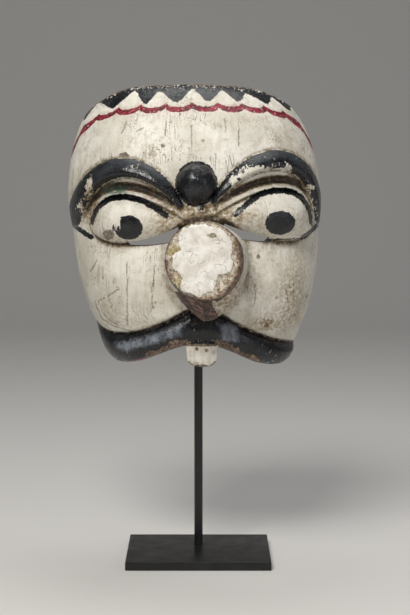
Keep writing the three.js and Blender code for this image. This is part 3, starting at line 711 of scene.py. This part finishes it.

# Brown wash from hands, smoke and old varnish, and painted shade over the eyeballs: middle, half width, half
# height, depth.
STAINS_AND_SHADE = [
    (1.5, 206, 15, 7, 1.8), (-61, 208, 5, 11, 1.9), (64, 208, 4, 12, 0.75), (-19, 207, 7, 6, 0.8),
    (-46, 187.5, 12, 3, 0.7), (50, 156, 13, 18, 0.62), (38.5, 143, 4, 4, 0.6), (-26.5, 239, 6, 5, 0.8),
    (45, 247, 8, 7, 0.6), (-50, 150, 12, 12, 0.4), (-26, 222, 26, 3, 0.5),
    (38, 221, 22, 3.5, 0.6), (56, 172, 7, 26, 0.45), (24, 205, 11, 3.4, 0.6), (-3, 238, 9, 12, 0.3),
    (-18, 176, 5, 18, 0.5), (31, 170, 6, 20, 0.5), (-20, 259, 22, 3, 0.35), (32, 258, 24, 3, 0.4),
    (-36, 229, 24, 2, 0.35), (-28, 143, 26, 4, 0.4), (36, 142, 22, 6, 0.55), (-66, 168, 4, 20, 0.4),
    (-22, 197, 8, 4, 0.5), (24, 198, 9, 4, 0.5), (-68, 214, 4, 10, 0.6), (-44, 226, 10, 2, 0.3),
    (54, 202, 4, 6, 0.5), (-10, 197, 7, 4, 0.5), (14, 199, 6, 4, 0.5), (60, 240, 6, 12, 0.35),
    # The two wide spots over the eyeballs are painted shade.
    (-37, 197, 15, 9, 0.42), (40, 199, 15, 9, 0.45), (0, 120, 9, 2.5, 0.8),
    (-0.6, 129.3, 1.1, 1.0, 2.6), (4.6, 128.4, 1.0, 0.9, 2.6),
]
# On the nose the wash is a light stain plus painted shade that darkens down its lower right side.
stain = np.where(on_nose, 0.3 + 0.75 * fade(186, 160, pz) * (px > 4), spots(STAINS_AND_SHADE))

# Drying cracks down the grain, knife scratches and pits: half the width in mm, then the points.
CRACKS = [
    (0.30, [(-39.8, 178), (-39.5, 165), (-39.9, 154), (-39.8, 141.6)]),
    (0.35, [(-57.2, 152.3), (-56.6, 154.6)]), (0.35, [(-55.8, 155), (-53.2, 156.9)]),
    (0.40, [(-50.9, 158.5), (-49.3, 159.4)]), (0.38, [(-48.3, 160), (-44.2, 162.9)]),
    (0.32, [(-46.2, 163.9), (-44.4, 163.5)]), (0.28, [(-57.1, 178.2), (-61.3, 171.4)]),
    (0.32, [(-59.4, 154.3), (-58.6, 150.8), (-54.8, 144), (-48.2, 140.1), (-37, 138.1)]),
    (0.22, [(-55.8, 149.5), (-52.8, 145.7), (-45.7, 141)]),
    (0.25, [(-23.7, 176.6), (-25.1, 167.7), (-26, 156.9), (-25.2, 152.3)]),
    (0.28, [(-18.2, 256.5), (-18.1, 248.2)]), (0.28, [(22.6, 251.5), (22.7, 242.6)]),
    (0.25, [(15.3, 257.7), (15.2, 250.4)]), (0.25, [(9.7, 238.8), (9.8, 229.4)]),
    (0.20, [(-3.9, 254.3), (-3.6, 240.4)]), (0.20, [(-10, 246), (-9.8, 234.9)]),
    (0.20, [(3.9, 263.9), (3.9, 254.3)]), (0.30, [(31.6, 165.3), (31.9, 153.9)]),
    (0.25, [(50, 161.6), (50.5, 152.2)]), (0.35, [(-34.2, 251), (-30.8, 252.7)]),
    (0.30, [(-43.3, 249.9), (-40, 256.6)]), (0.45, [(37.2, 145.5), (37.8, 143.1)]),
]
PITS = [
    (-23.8, 155.3, 0.7), (-25.1, 152.6, 0.8), (62.6, 156.4, 0.8), (52.1, 163, 0.7), (27.1, 164.2, 0.6),
    (25, 161.4, 0.6), (-19.4, 242.9, 1.0), (2.8, 245.6, 0.8), (44, 158, 0.6), (57, 166, 0.6), (36, 236, 0.6),
]
wander = px + 0.7 * hand_noise(points, 5, 21) + 0.3 * hand_noise(points, 1.7, 22)
scratch = np.full(len(points), -9.0)
for width, corners in CRACKS:
    for start, end in zip(corners, corners[1:]):
        scratch = np.maximum(scratch, stroke_paint((start, end, width), wander, pz))
for x, z, radius in PITS:
    scratch = np.maximum(scratch, radius - np.hypot(px - x, pz - z))
scratch = np.where(on_nose | on_tooth, -9, scratch)

# How worn the black is: the right brow's lower half, both ends of the left brow, the lower edge, and
# the edge of the left pupil.
WEAR = [
    (27.5, 224.5, 5.5, 4.5, 1.05), (31, 230, 9, 4.5, 0.62), (19.5, 222, 3, 5, 0.7), (38, 229, 5, 2, 0.8),
    (50.8, 231, 2.6, 3, 0.8), (46, 229, 4, 2, 0.7), (64, 219, 2.2, 3, 0.9), (66, 208, 3, 5, 0.5),
    (-61.3, 221, 2.0, 4.4, 1.3), (-67, 208, 2.0, 4, 1.0), (-62, 214, 3, 5, 0.7), (-46, 197, 2.4, 6, 0.5),
    (-44.6, 202.2, 2.0, 1.7, 0.9), (-36, 231.5, 5, 2, 0.45), (-14, 214, 3, 4, 0.35), (68, 200, 3, 4, 0.4),
    (62, 214, 2, 5, 0.45), (-56, 206, 3, 6, 0.5), (-44.6, 199.5, 2.6, 4.5, 0.45),
]
black_wear = 0.1 + spots(WEAR)
black_wear += 0.3 * fade(7, 1, over_lower_edge) * (under > 0)
black_wear += 0.45 * fade(5, 0.5, upper_edge(side_share(px, pz)) - pz)


def band(corners, x, z):
    """Millimetres inside a band, given as (x, middle height, half width) from left to right."""
    places, heights, halves = np.array(corners, float).T
    inside = np.interp(x, places, halves) - np.abs(z - np.interp(x, places, heights))
    return np.minimum(inside, np.minimum(x - places[0], places[-1] - x))


# The black is rubbed grey on the moustache, partly worn and partly a painted sheen, and a painted sheen lies
# along the tops of the brows. Green and pink of older coats remain in the left socket, and green also at the
# moustache's left edge.
rubbed = np.maximum(
    band([(-48, 129, 2.2), (-41, 129.3, 3.4), (-27, 133.8, 3.3), (-8.6, 140.4, 4.0)], px, pz),
    band([(12.4, 138.2, 5.2), (17, 138.4, 5.8), (23.2, 137.0, 5.0)], px, pz),
)
# A painted sheen along the tops of both brows.
dulled = np.maximum(
    band([(-60, 224, 3.4), (-46, 233.5, 4.2), (-32, 234.5, 4.2), (-14, 221, 2.2)], px, pz),
    band([(20, 226, 2), (36, 237, 3.4), (50, 239.5, 4), (62, 229, 3)], px, pz),
)
teal = spots([(-46.4, 218, 6.5, 2.6, 1), (-36, 123.6, 6, 1.5, 0.6)], 4)
pink = spots([(-34, 218.8, 7, 2, 0.9)], 4) + spots([(-24, 214, 8, 4, 0.8)])

# How far each point of the nose lies in from its rim or, under 0, behind it.
into_or_behind = np.where(on_face, np.clip(into, 0, 9) - dark_rim, -np.clip(py + NOSE_RIM, 0, 9))

ATTRIBUTES = {
    "black": black,
    "red": red,
    "bare": bare,
    "depth": np.where(in_nose_hollow, WALL, wall_depth(px, py, pz) + np.minimum(carved, 0)),
    "dirt": np.clip(dirt, 0, 1.5),
    "black_wear": np.clip(black_wear, 0, 1),
    "rubbed": np.clip(rubbed, -6, 6),
    "dulled": fade(-0.6, 3.0, dulled),
    "pink": np.clip(pink, 0, 1),
    "teal": np.clip(teal, 0, 1),
    "stain": np.clip(stain, 0, 1.3),
    "scratch": np.clip(scratch, -9, 1),
    "shallow": np.clip(shallow, 0, 1),
    "red_ground": np.clip(red_ground, 0, 1),
    "plaster": np.where(on_face, 1.0, 0.0),
    "rim": np.where(on_nose, into_or_behind, 9.0),
    "chiselled": np.where(on_nose & ~on_face, underside, 0.0),
}
for name, values in ATTRIBUTES.items():
    attribute = mask.data.attributes.new(name, "FLOAT", "POINT")
    attribute.data.foreach_set("value", values.astype(np.float32))


def linear(colour):
    """An sRGB hex colour as linear RGBA."""
    parts = [int(colour[i:i + 2], 16) / 255 for i in (1, 3, 5)]
    return (*[c / 12.92 if c <= 0.04045 else ((c + 0.055) / 1.055)**2.4 for c in parts], 1.0)


def per_mm(size):
    """The noise scale whose lumps are about size millimetres wide, in metres of object space."""
    return 1000.0 / size


def add(tree, kind, inputs=None, **settings):
    """Add a node, set its properties, and fill or link its inputs."""
    node = tree.nodes.new(kind)
    for name, value in settings.items():
        setattr(node, name, value)
    for name, value in (inputs or {}).items():
        if isinstance(value, bpy.types.NodeSocket):
            tree.links.new(value, node.inputs[name])
        else:
            node.inputs[name].default_value = value
    return node


# Gesso and distemper paint on light wood: an off-white ground brushed on in one thick coat, dull and chalky,
# with brown specks, hair cracks along the grain, and grime with painted shade in the hollows. Over it lie
# gloss black, with a painted sheen on the brows and moustache, and crimson, chipped back to the ground.
# Inside, the wood is bare, brown and gouged.
def painted_wood():
    material = bpy.data.materials.new("gesso_and_paint_on_carved_wood")
    material.use_nodes = True
    tree = material.node_tree
    tree.nodes.clear()
    coords = add(tree, "ShaderNodeTexCoord").outputs["Object"]
    value = {
        name: add(tree, "ShaderNodeAttribute", attribute_name=name).outputs["Fac"] for name in ATTRIBUTES
    }

    def lumps(size, detail=4.0, vector=None, roughness=0.6):
        made = add(tree, "ShaderNodeTexNoise", {
            "Vector": vector or coords, "Scale": per_mm(size), "Detail": detail, "Roughness": roughness,
        })
        return made.outputs["Fac"]

    def maths(operation, a, b=0.0, c=0.0):
        return add(tree, "ShaderNodeMath", {0: a, 1: b, 2: c}, operation=operation).outputs[0]

    def ramp(source, low, high):
        made = add(tree, "ShaderNodeMapRange", {"Value": source, "From Min": low, "From Max": high},
                   interpolation_type="SMOOTHSTEP")
        return made.outputs["Result"]

    def mix(factor, a, b):
        made = add(tree, "ShaderNodeMixRGB", {"Fac": factor, "Color1": a, "Color2": b})
        return made.outputs["Color"]

    def speckle(size, low, high, detail=3.0):
        return ramp(lumps(size, detail), low, high)

    def fine_line(source, half_width):
        return ramp(maths("ABSOLUTE", maths("SUBTRACT", source, 0.5)), half_width, 0.0)

    along_grain = add(tree, "ShaderNodeMapping", {"Vector": coords, "Scale": (1.0, 0.6, 0.07)})
    grain_coords = along_grain.outputs["Vector"]
    along_brush = add(tree, "ShaderNodeMapping", {"Vector": coords, "Scale": (1.0, 0.7, 0.3)})
    brush_coords = along_brush.outputs["Vector"]
    aslant = add(tree, "ShaderNodeMapping", {"Vector": coords, "Rotation": (0, math.radians(-38), 0)})
    along_chisel = add(tree, "ShaderNodeMapping", {
        "Vector": aslant.outputs["Vector"], "Scale": (0.28, 0.6, 1.0),
    })
    chisel_cuts = lumps(1.7, 3, along_chisel.outputs["Vector"])
    ragged = maths("SUBTRACT", lumps(2.6, 5), 0.5)
    ragged_fine = maths("SUBTRACT", lumps(0.9, 3), 0.5)
    brushed = maths("MULTIPLY_ADD", ragged_fine, 2.0, maths("MULTIPLY", ragged, 2.6))

    # The off-white ground: cloudy, streaked down the grain, rubbed thin, speckled and cracked, stained, and
    # darkened with grime and painted shade in the hollows, over the eyeballs and on the nose.
    ground = mix(speckle(24, 0.36, 0.66), linear("#cfcabc"), linear("#e4e0d5"))
    ground = mix(maths("MULTIPLY", speckle(5.5, 0.50, 0.72, 6.0), 0.5), ground, linear("#b3a893"))
    streaks = ramp(lumps(3.0, 4, grain_coords), 0.46, 0.70)
    ground = mix(maths("MULTIPLY", streaks, 0.24), ground, linear("#a0947e"))
    thin_places = maths("MULTIPLY_ADD", value["stain"], 0.8, speckle(15, 0.46, 0.64))
    specks = maths("MULTIPLY", speckle(0.8, 0.59, 0.67), maths("MULTIPLY_ADD", thin_places, 0.75, 0.3))
    ground = mix(maths("MULTIPLY", specks, 0.75), ground, linear("#6d5b40"))
    flecks = maths("MULTIPLY", speckle(2.2, 0.66, 0.71, 5.0), maths("MULTIPLY_ADD", thin_places, 0.7, 0.3))
    ground = mix(maths("MULTIPLY", flecks, 0.8), ground, linear("#5d492f"))
    along_check = add(tree, "ShaderNodeMapping", {"Vector": coords, "Scale": (1.0, 0.5, 0.035)})
    cracks = fine_line(lumps(3.2, 1, along_check.outputs["Vector"]), 0.012)
    cracks = maths("MULTIPLY", cracks, ramp(lumps(15, 2), 0.48, 0.62))
    ground = mix(maths("MULTIPLY", cracks, 0.6), ground, linear("#64523a"))
    crazing = maths("MULTIPLY", fine_line(lumps(6.5, 3), 0.006), ramp(lumps(11, 2), 0.48, 0.62))
    ground = mix(maths("MULTIPLY", crazing, 0.6), ground, linear("#74624a"))
    # Brown wash, and painted shade over the eyeballs and down the nose's lower right side.
    wash_and_shade = maths("MULTIPLY", value["stain"], maths("MULTIPLY_ADD", lumps(1.8, 6), 2.8, -0.85))
    ground = mix(ramp(wash_and_shade, 0.0, 0.9), ground, linear("#94805f"))
    ground = mix(ramp(wash_and_shade, 0.55, 1.3), ground, linear("#4c3a25"))
    ground = mix(maths("MULTIPLY", value["pink"], speckle(2.4, 0.36, 0.62, 5.0)), ground, linear("#8f6a5c"))
    # Patchy grime and painted shade in the hollows and round the nose and tooth.
    patchy = maths("MULTIPLY_ADD", lumps(2.6, 6), 1.5, maths("MULTIPLY", lumps(0.9, 3, brush_coords), 0.7))
    grime_and_shade_amount = maths("MULTIPLY", value["dirt"], maths("MULTIPLY_ADD", patchy, 1.5, -0.85))
    ground = mix(ramp(grime_and_shade_amount, 0.05, 0.55), ground, linear("#7f6f56"))
    ground = mix(ramp(grime_and_shade_amount, 0.42, 0.95), ground, linear("#382d22"))
    remains = maths("MULTIPLY", value["teal"], speckle(2.6, 0.36, 0.55, 5.0))
    ground = mix(maths("MULTIPLY", remains, 0.85), ground, linear("#2c5547"))
    scratched = ramp(maths("ADD", value["scratch"], maths("MULTIPLY", ragged_fine, 1.4)), -0.22, 0.12)
    ground = mix(maths("MULTIPLY", scratched, 0.62), ground, linear("#6f5d45"))
    halo = maths("MULTIPLY", ramp(value["red"], -3.2, 0.3), speckle(3, 0.42, 0.62))
    ground = mix(maths("MULTIPLY", halo, 0.35), ground, linear("#c08a8c"))

    # Crimson line, thin and rubbed in places.
    red_edge = maths("MULTIPLY_ADD", brushed, 0.55, value["red"])
    red_mask = maths("MULTIPLY", ramp(red_edge, -0.15, 0.2), speckle(1.3, 0.33, 0.42, 4.0))
    crimson = mix(ramp(lumps(4, 4), 0.35, 0.65), linear("#560c1a"), linear("#8f1c30"))
    colour = mix(red_mask, ground, crimson)

    # Gloss black, with its chips, its grey places on the moustache that are partly rubbed and partly painted
    # sheen, and a painted sheen along the tops of the brows.
    black_edge = maths("MULTIPLY_ADD", brushed, 0.75, value["black"])
    flaking = maths("MULTIPLY_ADD", lumps(1.1, 4, brush_coords), 0.6, maths("MULTIPLY", lumps(2.6, 6), 0.4))
    chips = ramp(maths("MULTIPLY_ADD", value["black_wear"], 0.24, flaking), 0.655, 0.675)
    black_mask = maths("MULTIPLY", ramp(black_edge, -0.12, 0.18), maths("SUBTRACT", 1.0, chips))
    black_colour = mix(ramp(lumps(7, 5), 0.4, 0.7), linear("#090a0c"), linear("#1d2025"))
    black_colour = mix(maths("MULTIPLY", speckle(1.1, 0.62, 0.70), 0.5), black_colour, linear("#3d3f43"))
    # The painted sheen on the brow tops, a lighter grey in the black.
    dulled = maths("MULTIPLY", value["dulled"], maths("MULTIPLY_ADD", lumps(6, 3), 1.4, 0.1))
    black_colour = mix(maths("MULTIPLY", dulled, 0.75), black_colour, linear("#33383d"))
    # Grey on the moustache: rubbed paint and a painted sheen.
    rubbed_and_sheen_edge = maths("MULTIPLY_ADD", ragged, 4.5, maths("MULTIPLY_ADD", ragged_fine, 2.0, value["rubbed"]))
    rubbed_and_sheen_mask = maths("MULTIPLY", ramp(rubbed_and_sheen_edge, -0.6, 2.6), speckle(1.2, 0.32, 0.44, 4.0))
    rubbed_and_sheen_grey = mix(ramp(lumps(3, 5, brush_coords), 0.35, 0.65), linear("#575d66"), linear("#8f949c"))
    black_colour = mix(maths("MULTIPLY", rubbed_and_sheen_mask, 0.85), black_colour, rubbed_and_sheen_grey)
    colour = mix(black_mask, colour, black_colour)

    # White gesso on the sawn end of the nose, scratched, with small grey-green stains.
    plaster = mix(ramp(lumps(7, 5), 0.38, 0.62), linear("#efebe3"), linear("#d8d2c6"))
    marks = maths("MULTIPLY", fine_line(lumps(12, 3), 0.014), ramp(lumps(5, 2), 0.44, 0.62))
    plaster = mix(maths("MULTIPLY", marks, 0.36), plaster, linear("#a39a86"))
    plaster = mix(maths("MULTIPLY", speckle(1.4, 0.62, 0.70), 0.45), plaster, linear("#a89c84"))
    colour = mix(value["plaster"], colour, plaster)

    # Bare wood where the paint has gone, redder where a red primer is left on it, greyer in chips. Under the
    # nose the primer is made darker as painted shade, and its chisel ridges carry painted highlights.
    bare_edge = maths("MULTIPLY_ADD", brushed, 0.9, value["bare"])
    bare_mask = ramp(bare_edge, -0.15, 0.25)
    worn_wood = mix(ramp(lumps(2.6, 6, brush_coords), 0.38, 0.62), linear("#4b392c"), linear("#a8937b"))
    worn_wood = mix(speckle(1.9, 0.57, 0.64, 4.0), worn_wood, linear("#cbb9a0"))
    worn_wood = mix(speckle(1.5, 0.54, 0.62, 4.0), worn_wood, linear("#33241a"))
    primer_and_shade = mix(ramp(lumps(2.2, 6, brush_coords), 0.40, 0.62), linear("#180805"), linear("#4c241b"))
    # Painted highlights along the chisel ridges under the nose.
    painted_ridge_highlights = maths("MULTIPLY", value["chiselled"], ramp(chisel_cuts, 0.54, 0.63))
    primer_and_shade = mix(painted_ridge_highlights, primer_and_shade, linear("#a5786c"))
    primer_and_shade = mix(speckle(1.5, 0.62, 0.70, 4.0), primer_and_shade, linear("#b08877"))
    worn_wood = mix(maths("MULTIPLY", value["red_ground"], speckle(5, 0.22, 0.44)), worn_wood, primer_and_shade)
    border = mix(ramp(lumps(2.4, 6), 0.36, 0.58), linear("#94836c"), linear("#d6ccba"))
    border = mix(maths("MULTIPLY", speckle(9, 0.52, 0.60, 4.0), 0.7), border, linear("#a89756"))
    border = mix(maths("MULTIPLY", speckle(4, 0.54, 0.62, 4.0), 0.55), border, linear("#8d6855"))
    border = mix(speckle(1.3, 0.57, 0.65, 4.0), border, linear("#4f3a29"))
    border = mix(fine_line(lumps(3.6, 4), 0.012), border, linear("#49351f"))
    rubbed_rim = ramp(maths("MULTIPLY_ADD", ragged, 9.0, value["rim"]), 2.2, 0.2)
    rim_brown = mix(speckle(1.7, 0.44, 0.58, 5.0), linear("#3a2117"), linear("#9c7b69"))
    border = mix(maths("MULTIPLY", rubbed_rim, 0.75), border, rim_brown)
    worn_wood = mix(value["plaster"], worn_wood, border)
    stained = maths("MULTIPLY", value["shallow"], ramp(lumps(1.3, 4), 0.30, 0.60))
    worn_wood = mix(maths("MULTIPLY", stained, 0.85), worn_wood, linear("#8b8672"))
    rim_shadow = maths("MULTIPLY", ramp(value["rim"], -3.4, -0.8), ramp(value["rim"], 0.5, -0.5))
    worn_wood = mix(maths("MULTIPLY", rim_shadow, 0.6), worn_wood, linear("#33221a"))
    colour = mix(bare_mask, colour, worn_wood)
    # A painted shade darkens the paint along the torn edges of the bare places.
    torn_edge_shade = maths("MULTIPLY", ramp(maths("ABSOLUTE", bare_edge), 0.50, 0.05), speckle(3.2, 0.4, 0.6))
    colour = mix(maths("MULTIPLY", torn_edge_shade, 0.75), colour, linear("#46331f"))

    # The paint stops just over the rim; behind it the wood is bare.
    inside = ramp(maths("MULTIPLY_ADD", ragged, 3.0, value["depth"]), 2.6, 3.4)
    grain = lumps(2.4, 6, grain_coords)
    inner_wood = mix(ramp(grain, 0.35, 0.68), linear("#5b4028"), linear("#8f6e48"))
    inner_wood = mix(ramp(lumps(22, 4), 0.45, 0.7), inner_wood, linear("#4a3420"))
    colour = mix(inside, colour, inner_wood)

    painted = maths("SUBTRACT", 1.0, maths("MAXIMUM", bare_mask, inside))
    gloss = maths("MULTIPLY", maths("MAXIMUM", black_mask, maths("MULTIPLY", red_mask, 0.5)), painted)
    matt = maths("MULTIPLY_ADD", lumps(5, 4), 0.30, 0.36)
    glossy = maths("MULTIPLY_ADD", lumps(3.2, 5), 0.34, 0.07)
    glossy = maths("MULTIPLY_ADD", maths("MAXIMUM", rubbed_and_sheen_mask, dulled), 0.18, glossy)
    rough = add(tree, "ShaderNodeMix", {0: gloss, 2: matt, 3: glossy}, data_type="FLOAT").outputs[0]

    # Relief too fine for the mesh, in millimetres: paint layers, cracks, brush marks, grain.
    height = 0.0
    for layer, millimetres in (
        (red_mask, 0.08), (black_mask, 0.18), (bare_mask, -0.40), (cracks, -0.28), (crazing, -0.10),
        (specks, -0.08), (flecks, -0.14), (scratched, -0.20),
        (maths("MULTIPLY", chisel_cuts, value["chiselled"]), 2.2),
        (maths("MULTIPLY", marks, value["plaster"]), -0.32),
        (lumps(3.4, 5), 0.36), (lumps(1.3, 3, brush_coords), 0.10), (lumps(0.8, 3), 0.06),
        (maths("MULTIPLY", grain, maths("MAXIMUM", bare_mask, inside)), 0.5),
    ):
        height = maths("MULTIPLY_ADD", layer, millimetres, height)
    bump = add(tree, "ShaderNodeBump", {"Height": height, "Strength": 1.0, "Distance": MM})
    shader = add(tree, "ShaderNodeBsdfPrincipled", {
        "Base Color": colour, "Roughness": rough, "Normal": bump.outputs["Normal"], "IOR": 1.5,
    })
    add(tree, "ShaderNodeOutputMaterial", {"Surface": shader.outputs["BSDF"]})
    return material


mask.data.materials.clear()
mask.data.materials.append(painted_wood())
for polygon in mask.data.polygons:
    polygon.material_index = 0
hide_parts("mask")
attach(mask, "root")

# The foot: a square-cut steel plate 84 by 70 mm and 5 mm thick, its edges just broken with a file,
# sprayed satin black. The rod is fixed into it from below.
FOOT_EDGE = 0.6
foot_low, foot_high = (Vector(corner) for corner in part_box("foot"))
bpy.ops.object.select_all(action="DESELECT")
bpy.ops.mesh.primitive_cube_add(size=1, location=(foot_low + foot_high) / 2, scale=foot_high - foot_low)
foot = bpy.context.object
foot.name = "steel_foot"
bpy.ops.object.transform_apply(location=True, rotation=True, scale=True)
bpy.ops.object.mode_set(mode="EDIT")
bpy.ops.mesh.select_all(action="SELECT")
bpy.ops.mesh.bevel(offset=FOOT_EDGE * MM, segments=3, profile=0.6, affect="EDGES")
bpy.ops.object.mode_set(mode="OBJECT")
bpy.ops.object.shade_smooth_by_angle(angle=math.radians(35))


# Satin black lacquer sprayed on steel: a thin, even coat with a soft sheen and a slight orange-peel
# ripple, faint dust, and a few pale specks where it has been knocked.
def black_lacquer():
    material = bpy.data.materials.new("satin_black_lacquer_on_steel")
    material.use_nodes = True
    tree = material.node_tree
    tree.nodes.clear()
    coords = add(tree, "ShaderNodeTexCoord").outputs["Object"]
    dust = add(tree, "ShaderNodeTexNoise", {"Vector": coords, "Scale": per_mm(9), "Detail": 6.0})
    specks = add(tree, "ShaderNodeTexNoise", {"Vector": coords, "Scale": per_mm(0.8), "Detail": 2.0})
    peel = add(tree, "ShaderNodeTexNoise", {"Vector": coords, "Scale": per_mm(1.4), "Detail": 2.0})
    dusty = add(tree, "ShaderNodeMapRange", {
        "Value": dust.outputs["Fac"], "From Min": 0.45, "From Max": 0.75,
    })
    tone = add(tree, "ShaderNodeMixRGB", {
        "Fac": dusty.outputs["Result"], "Color1": linear("#0b0b0c"), "Color2": linear("#1b1b1c"),
    })
    speck = add(tree, "ShaderNodeMapRange", {
        "Value": specks.outputs["Fac"], "From Min": 0.70, "From Max": 0.76,
    })
    colour = add(tree, "ShaderNodeMixRGB", {
        "Fac": speck.outputs["Result"], "Color1": tone.outputs["Color"], "Color2": linear("#4a4a4c"),
    })
    rough = add(tree, "ShaderNodeMapRange", {
        "Value": dust.outputs["Fac"], "From Min": 0.3, "From Max": 0.7, "To Min": 0.26, "To Max": 0.46,
    })
    bump = add(tree, "ShaderNodeBump", {
        "Height": peel.outputs["Fac"], "Strength": 0.35, "Distance": 0.05 * MM,
    })
    shader = add(tree, "ShaderNodeBsdfPrincipled", {
        "Base Color": colour.outputs["Color"], "Roughness": rough.outputs["Result"],
        "Normal": bump.outputs["Normal"], "IOR": 1.5,
    })
    add(tree, "ShaderNodeOutputMaterial", {"Surface": shader.outputs["BSDF"]})
    return material


lacquer = black_lacquer()
foot.data.materials.append(lacquer)
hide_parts("foot")
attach(foot, "root")

# The rod: drawn steel, 5 mm thick, standing straight and bent forward at its hidden top, where its
# end bears on the inside of the forehead. It wears the same black as the foot.
ROD_BEND, ROD_BEND_RADIUS, ROD_BEND_START, ROD_TIP = math.radians(64.3), 42.3 * MM, 205.6 * MM, 14.2 * MM
ROD_SIDES, ROD_BEND_STEPS = 32, 12
rod_low, rod_high = (Vector(corner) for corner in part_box("rod"))
rod_radius = (rod_high.x - rod_low.x) / 2
rod_back = rod_high.y - rod_radius
bpy.ops.object.select_all(action="DESELECT")
bpy.ops.mesh.primitive_circle_add(
    vertices=ROD_SIDES, radius=rod_radius, fill_type="NGON", location=(0, rod_back, rod_low.z)
)
rod = bpy.context.object
rod.name = "steel_rod"
bpy.ops.object.transform_apply(location=True, rotation=True, scale=True)
bpy.ops.object.mode_set(mode="EDIT")
bpy.ops.mesh.select_all(action="SELECT")
bpy.ops.mesh.extrude_region_move(TRANSFORM_OT_translate={"value": (0, 0, ROD_BEND_START - rod_low.z)})
bpy.ops.mesh.spin(
    steps=ROD_BEND_STEPS, angle=ROD_BEND, axis=(-1, 0, 0),
    center=(0, rod_back - ROD_BEND_RADIUS, ROD_BEND_START),
)
along_tip = Vector((0, -math.sin(ROD_BEND), math.cos(ROD_BEND))) * ROD_TIP
bpy.ops.mesh.extrude_region_move(TRANSFORM_OT_translate={"value": along_tip})
bpy.ops.mesh.select_all(action="SELECT")
bpy.ops.mesh.remove_doubles(threshold=0.01 * MM)
bpy.ops.mesh.normals_make_consistent(inside=False)
bpy.ops.object.mode_set(mode="OBJECT")
bpy.ops.object.shade_smooth_by_angle(angle=math.radians(35))
rod.data.materials.append(lacquer)
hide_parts("rod")
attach(rod, "root")

# The studio: a pale floor that curves up behind, a large soft key light from the upper left, a weak
# fill from the right and a weak light overhead. Its sizes are in metres.
COVE_NEAR, COVE_FAR, COVE_WIDE, COVE_RADIUS, COVE_TALL, COVE_STEPS = -2.6, 2.0, 5.0, 0.8, 2.6, 16


def studio_cove():
    profile = [(COVE_NEAR, 0.0), (COVE_FAR - COVE_RADIUS, 0.0)]
    for turn in np.linspace(0, math.pi / 2, COVE_STEPS + 1)[1:]:
        profile.append((COVE_FAR - COVE_RADIUS * (1 - math.sin(turn)), COVE_RADIUS * (1 - math.cos(turn))))
    profile.append((COVE_FAR, COVE_TALL))
    points = [(side * COVE_WIDE / MM, y / MM, z / MM) for side in (-1, 1) for y, z in profile]
    count = len(profile)
    faces = [(i + count, i + count + 1, i + 1, i) for i in range(count - 1)]
    return new_object("studio_floor", points, faces)


cove = studio_cove()
for polygon in cove.data.polygons:
    polygon.use_smooth = True
paper = bpy.data.materials.new("matt_backdrop_paper")
paper.use_nodes = True
paper_shader = paper.node_tree.nodes["Principled BSDF"]
paper_shader.inputs["Base Color"].default_value = linear("#d6d4d0")
paper_shader.inputs["Roughness"].default_value = 0.85
cove.data.materials.append(paper)


def soft_light(name, place, target, size, power, colour):
    light = bpy.data.lights.new(name, "AREA")
    light.shape = "RECTANGLE"
    light.size, light.size_y = size
    light.energy = power
    light.color = linear(colour)[:3]
    lamp = bpy.data.objects.new(name, light)
    lamp.location = place
    lamp.rotation_euler = (Vector(target) - Vector(place)).to_track_quat("-Z", "Y").to_euler()
    bpy.context.scene.collection.objects.link(lamp)


MASK_MIDDLE = (0, -0.02, 0.2)
soft_light("key_light", (-0.28, -0.92, 1.0), MASK_MIDDLE, (0.5, 0.36), 12.9, "#fffcf7")
soft_light("fill_light", (0.95, -0.8, 0.45), MASK_MIDDLE, (0.6, 0.8), 1.8, "#f6f8ff")
soft_light("top_light", (0.1, 0.1, 1.1), MASK_MIDDLE, (0.8, 0.5), 3.6, "#ffffff")
world = bpy.data.worlds.new("studio_air")
world.use_nodes = True
world.node_tree.nodes["Background"].inputs["Color"].default_value = linear("#e8ebf0")
world.node_tree.nodes["Background"].inputs["Strength"].default_value = 0.17
bpy.context.scene.world = world

# The camera stands a metre in front, a little above the middle of the mask, and looks slightly down.
CAMERA_PLACE = (0.0039, -0.9857, 0.2453)
CAMERA_DOWN = 0.098
FOCAL_PIXELS, FRAME_TALL, SENSOR = 1691.4, 615, 36.0
camera_data = bpy.data.cameras.new("camera")
camera_data.sensor_fit = "AUTO"
camera_data.sensor_width = SENSOR
camera_data.lens = FOCAL_PIXELS / FRAME_TALL * SENSOR
camera = bpy.data.objects.new("camera", camera_data)
camera.location = CAMERA_PLACE
camera.rotation_euler = (math.pi / 2 - CAMERA_DOWN, 0, 0)
bpy.context.scene.collection.objects.link(camera)
bpy.context.scene.camera = camera
bpy.context.scene.view_settings.view_transform = "Standard"
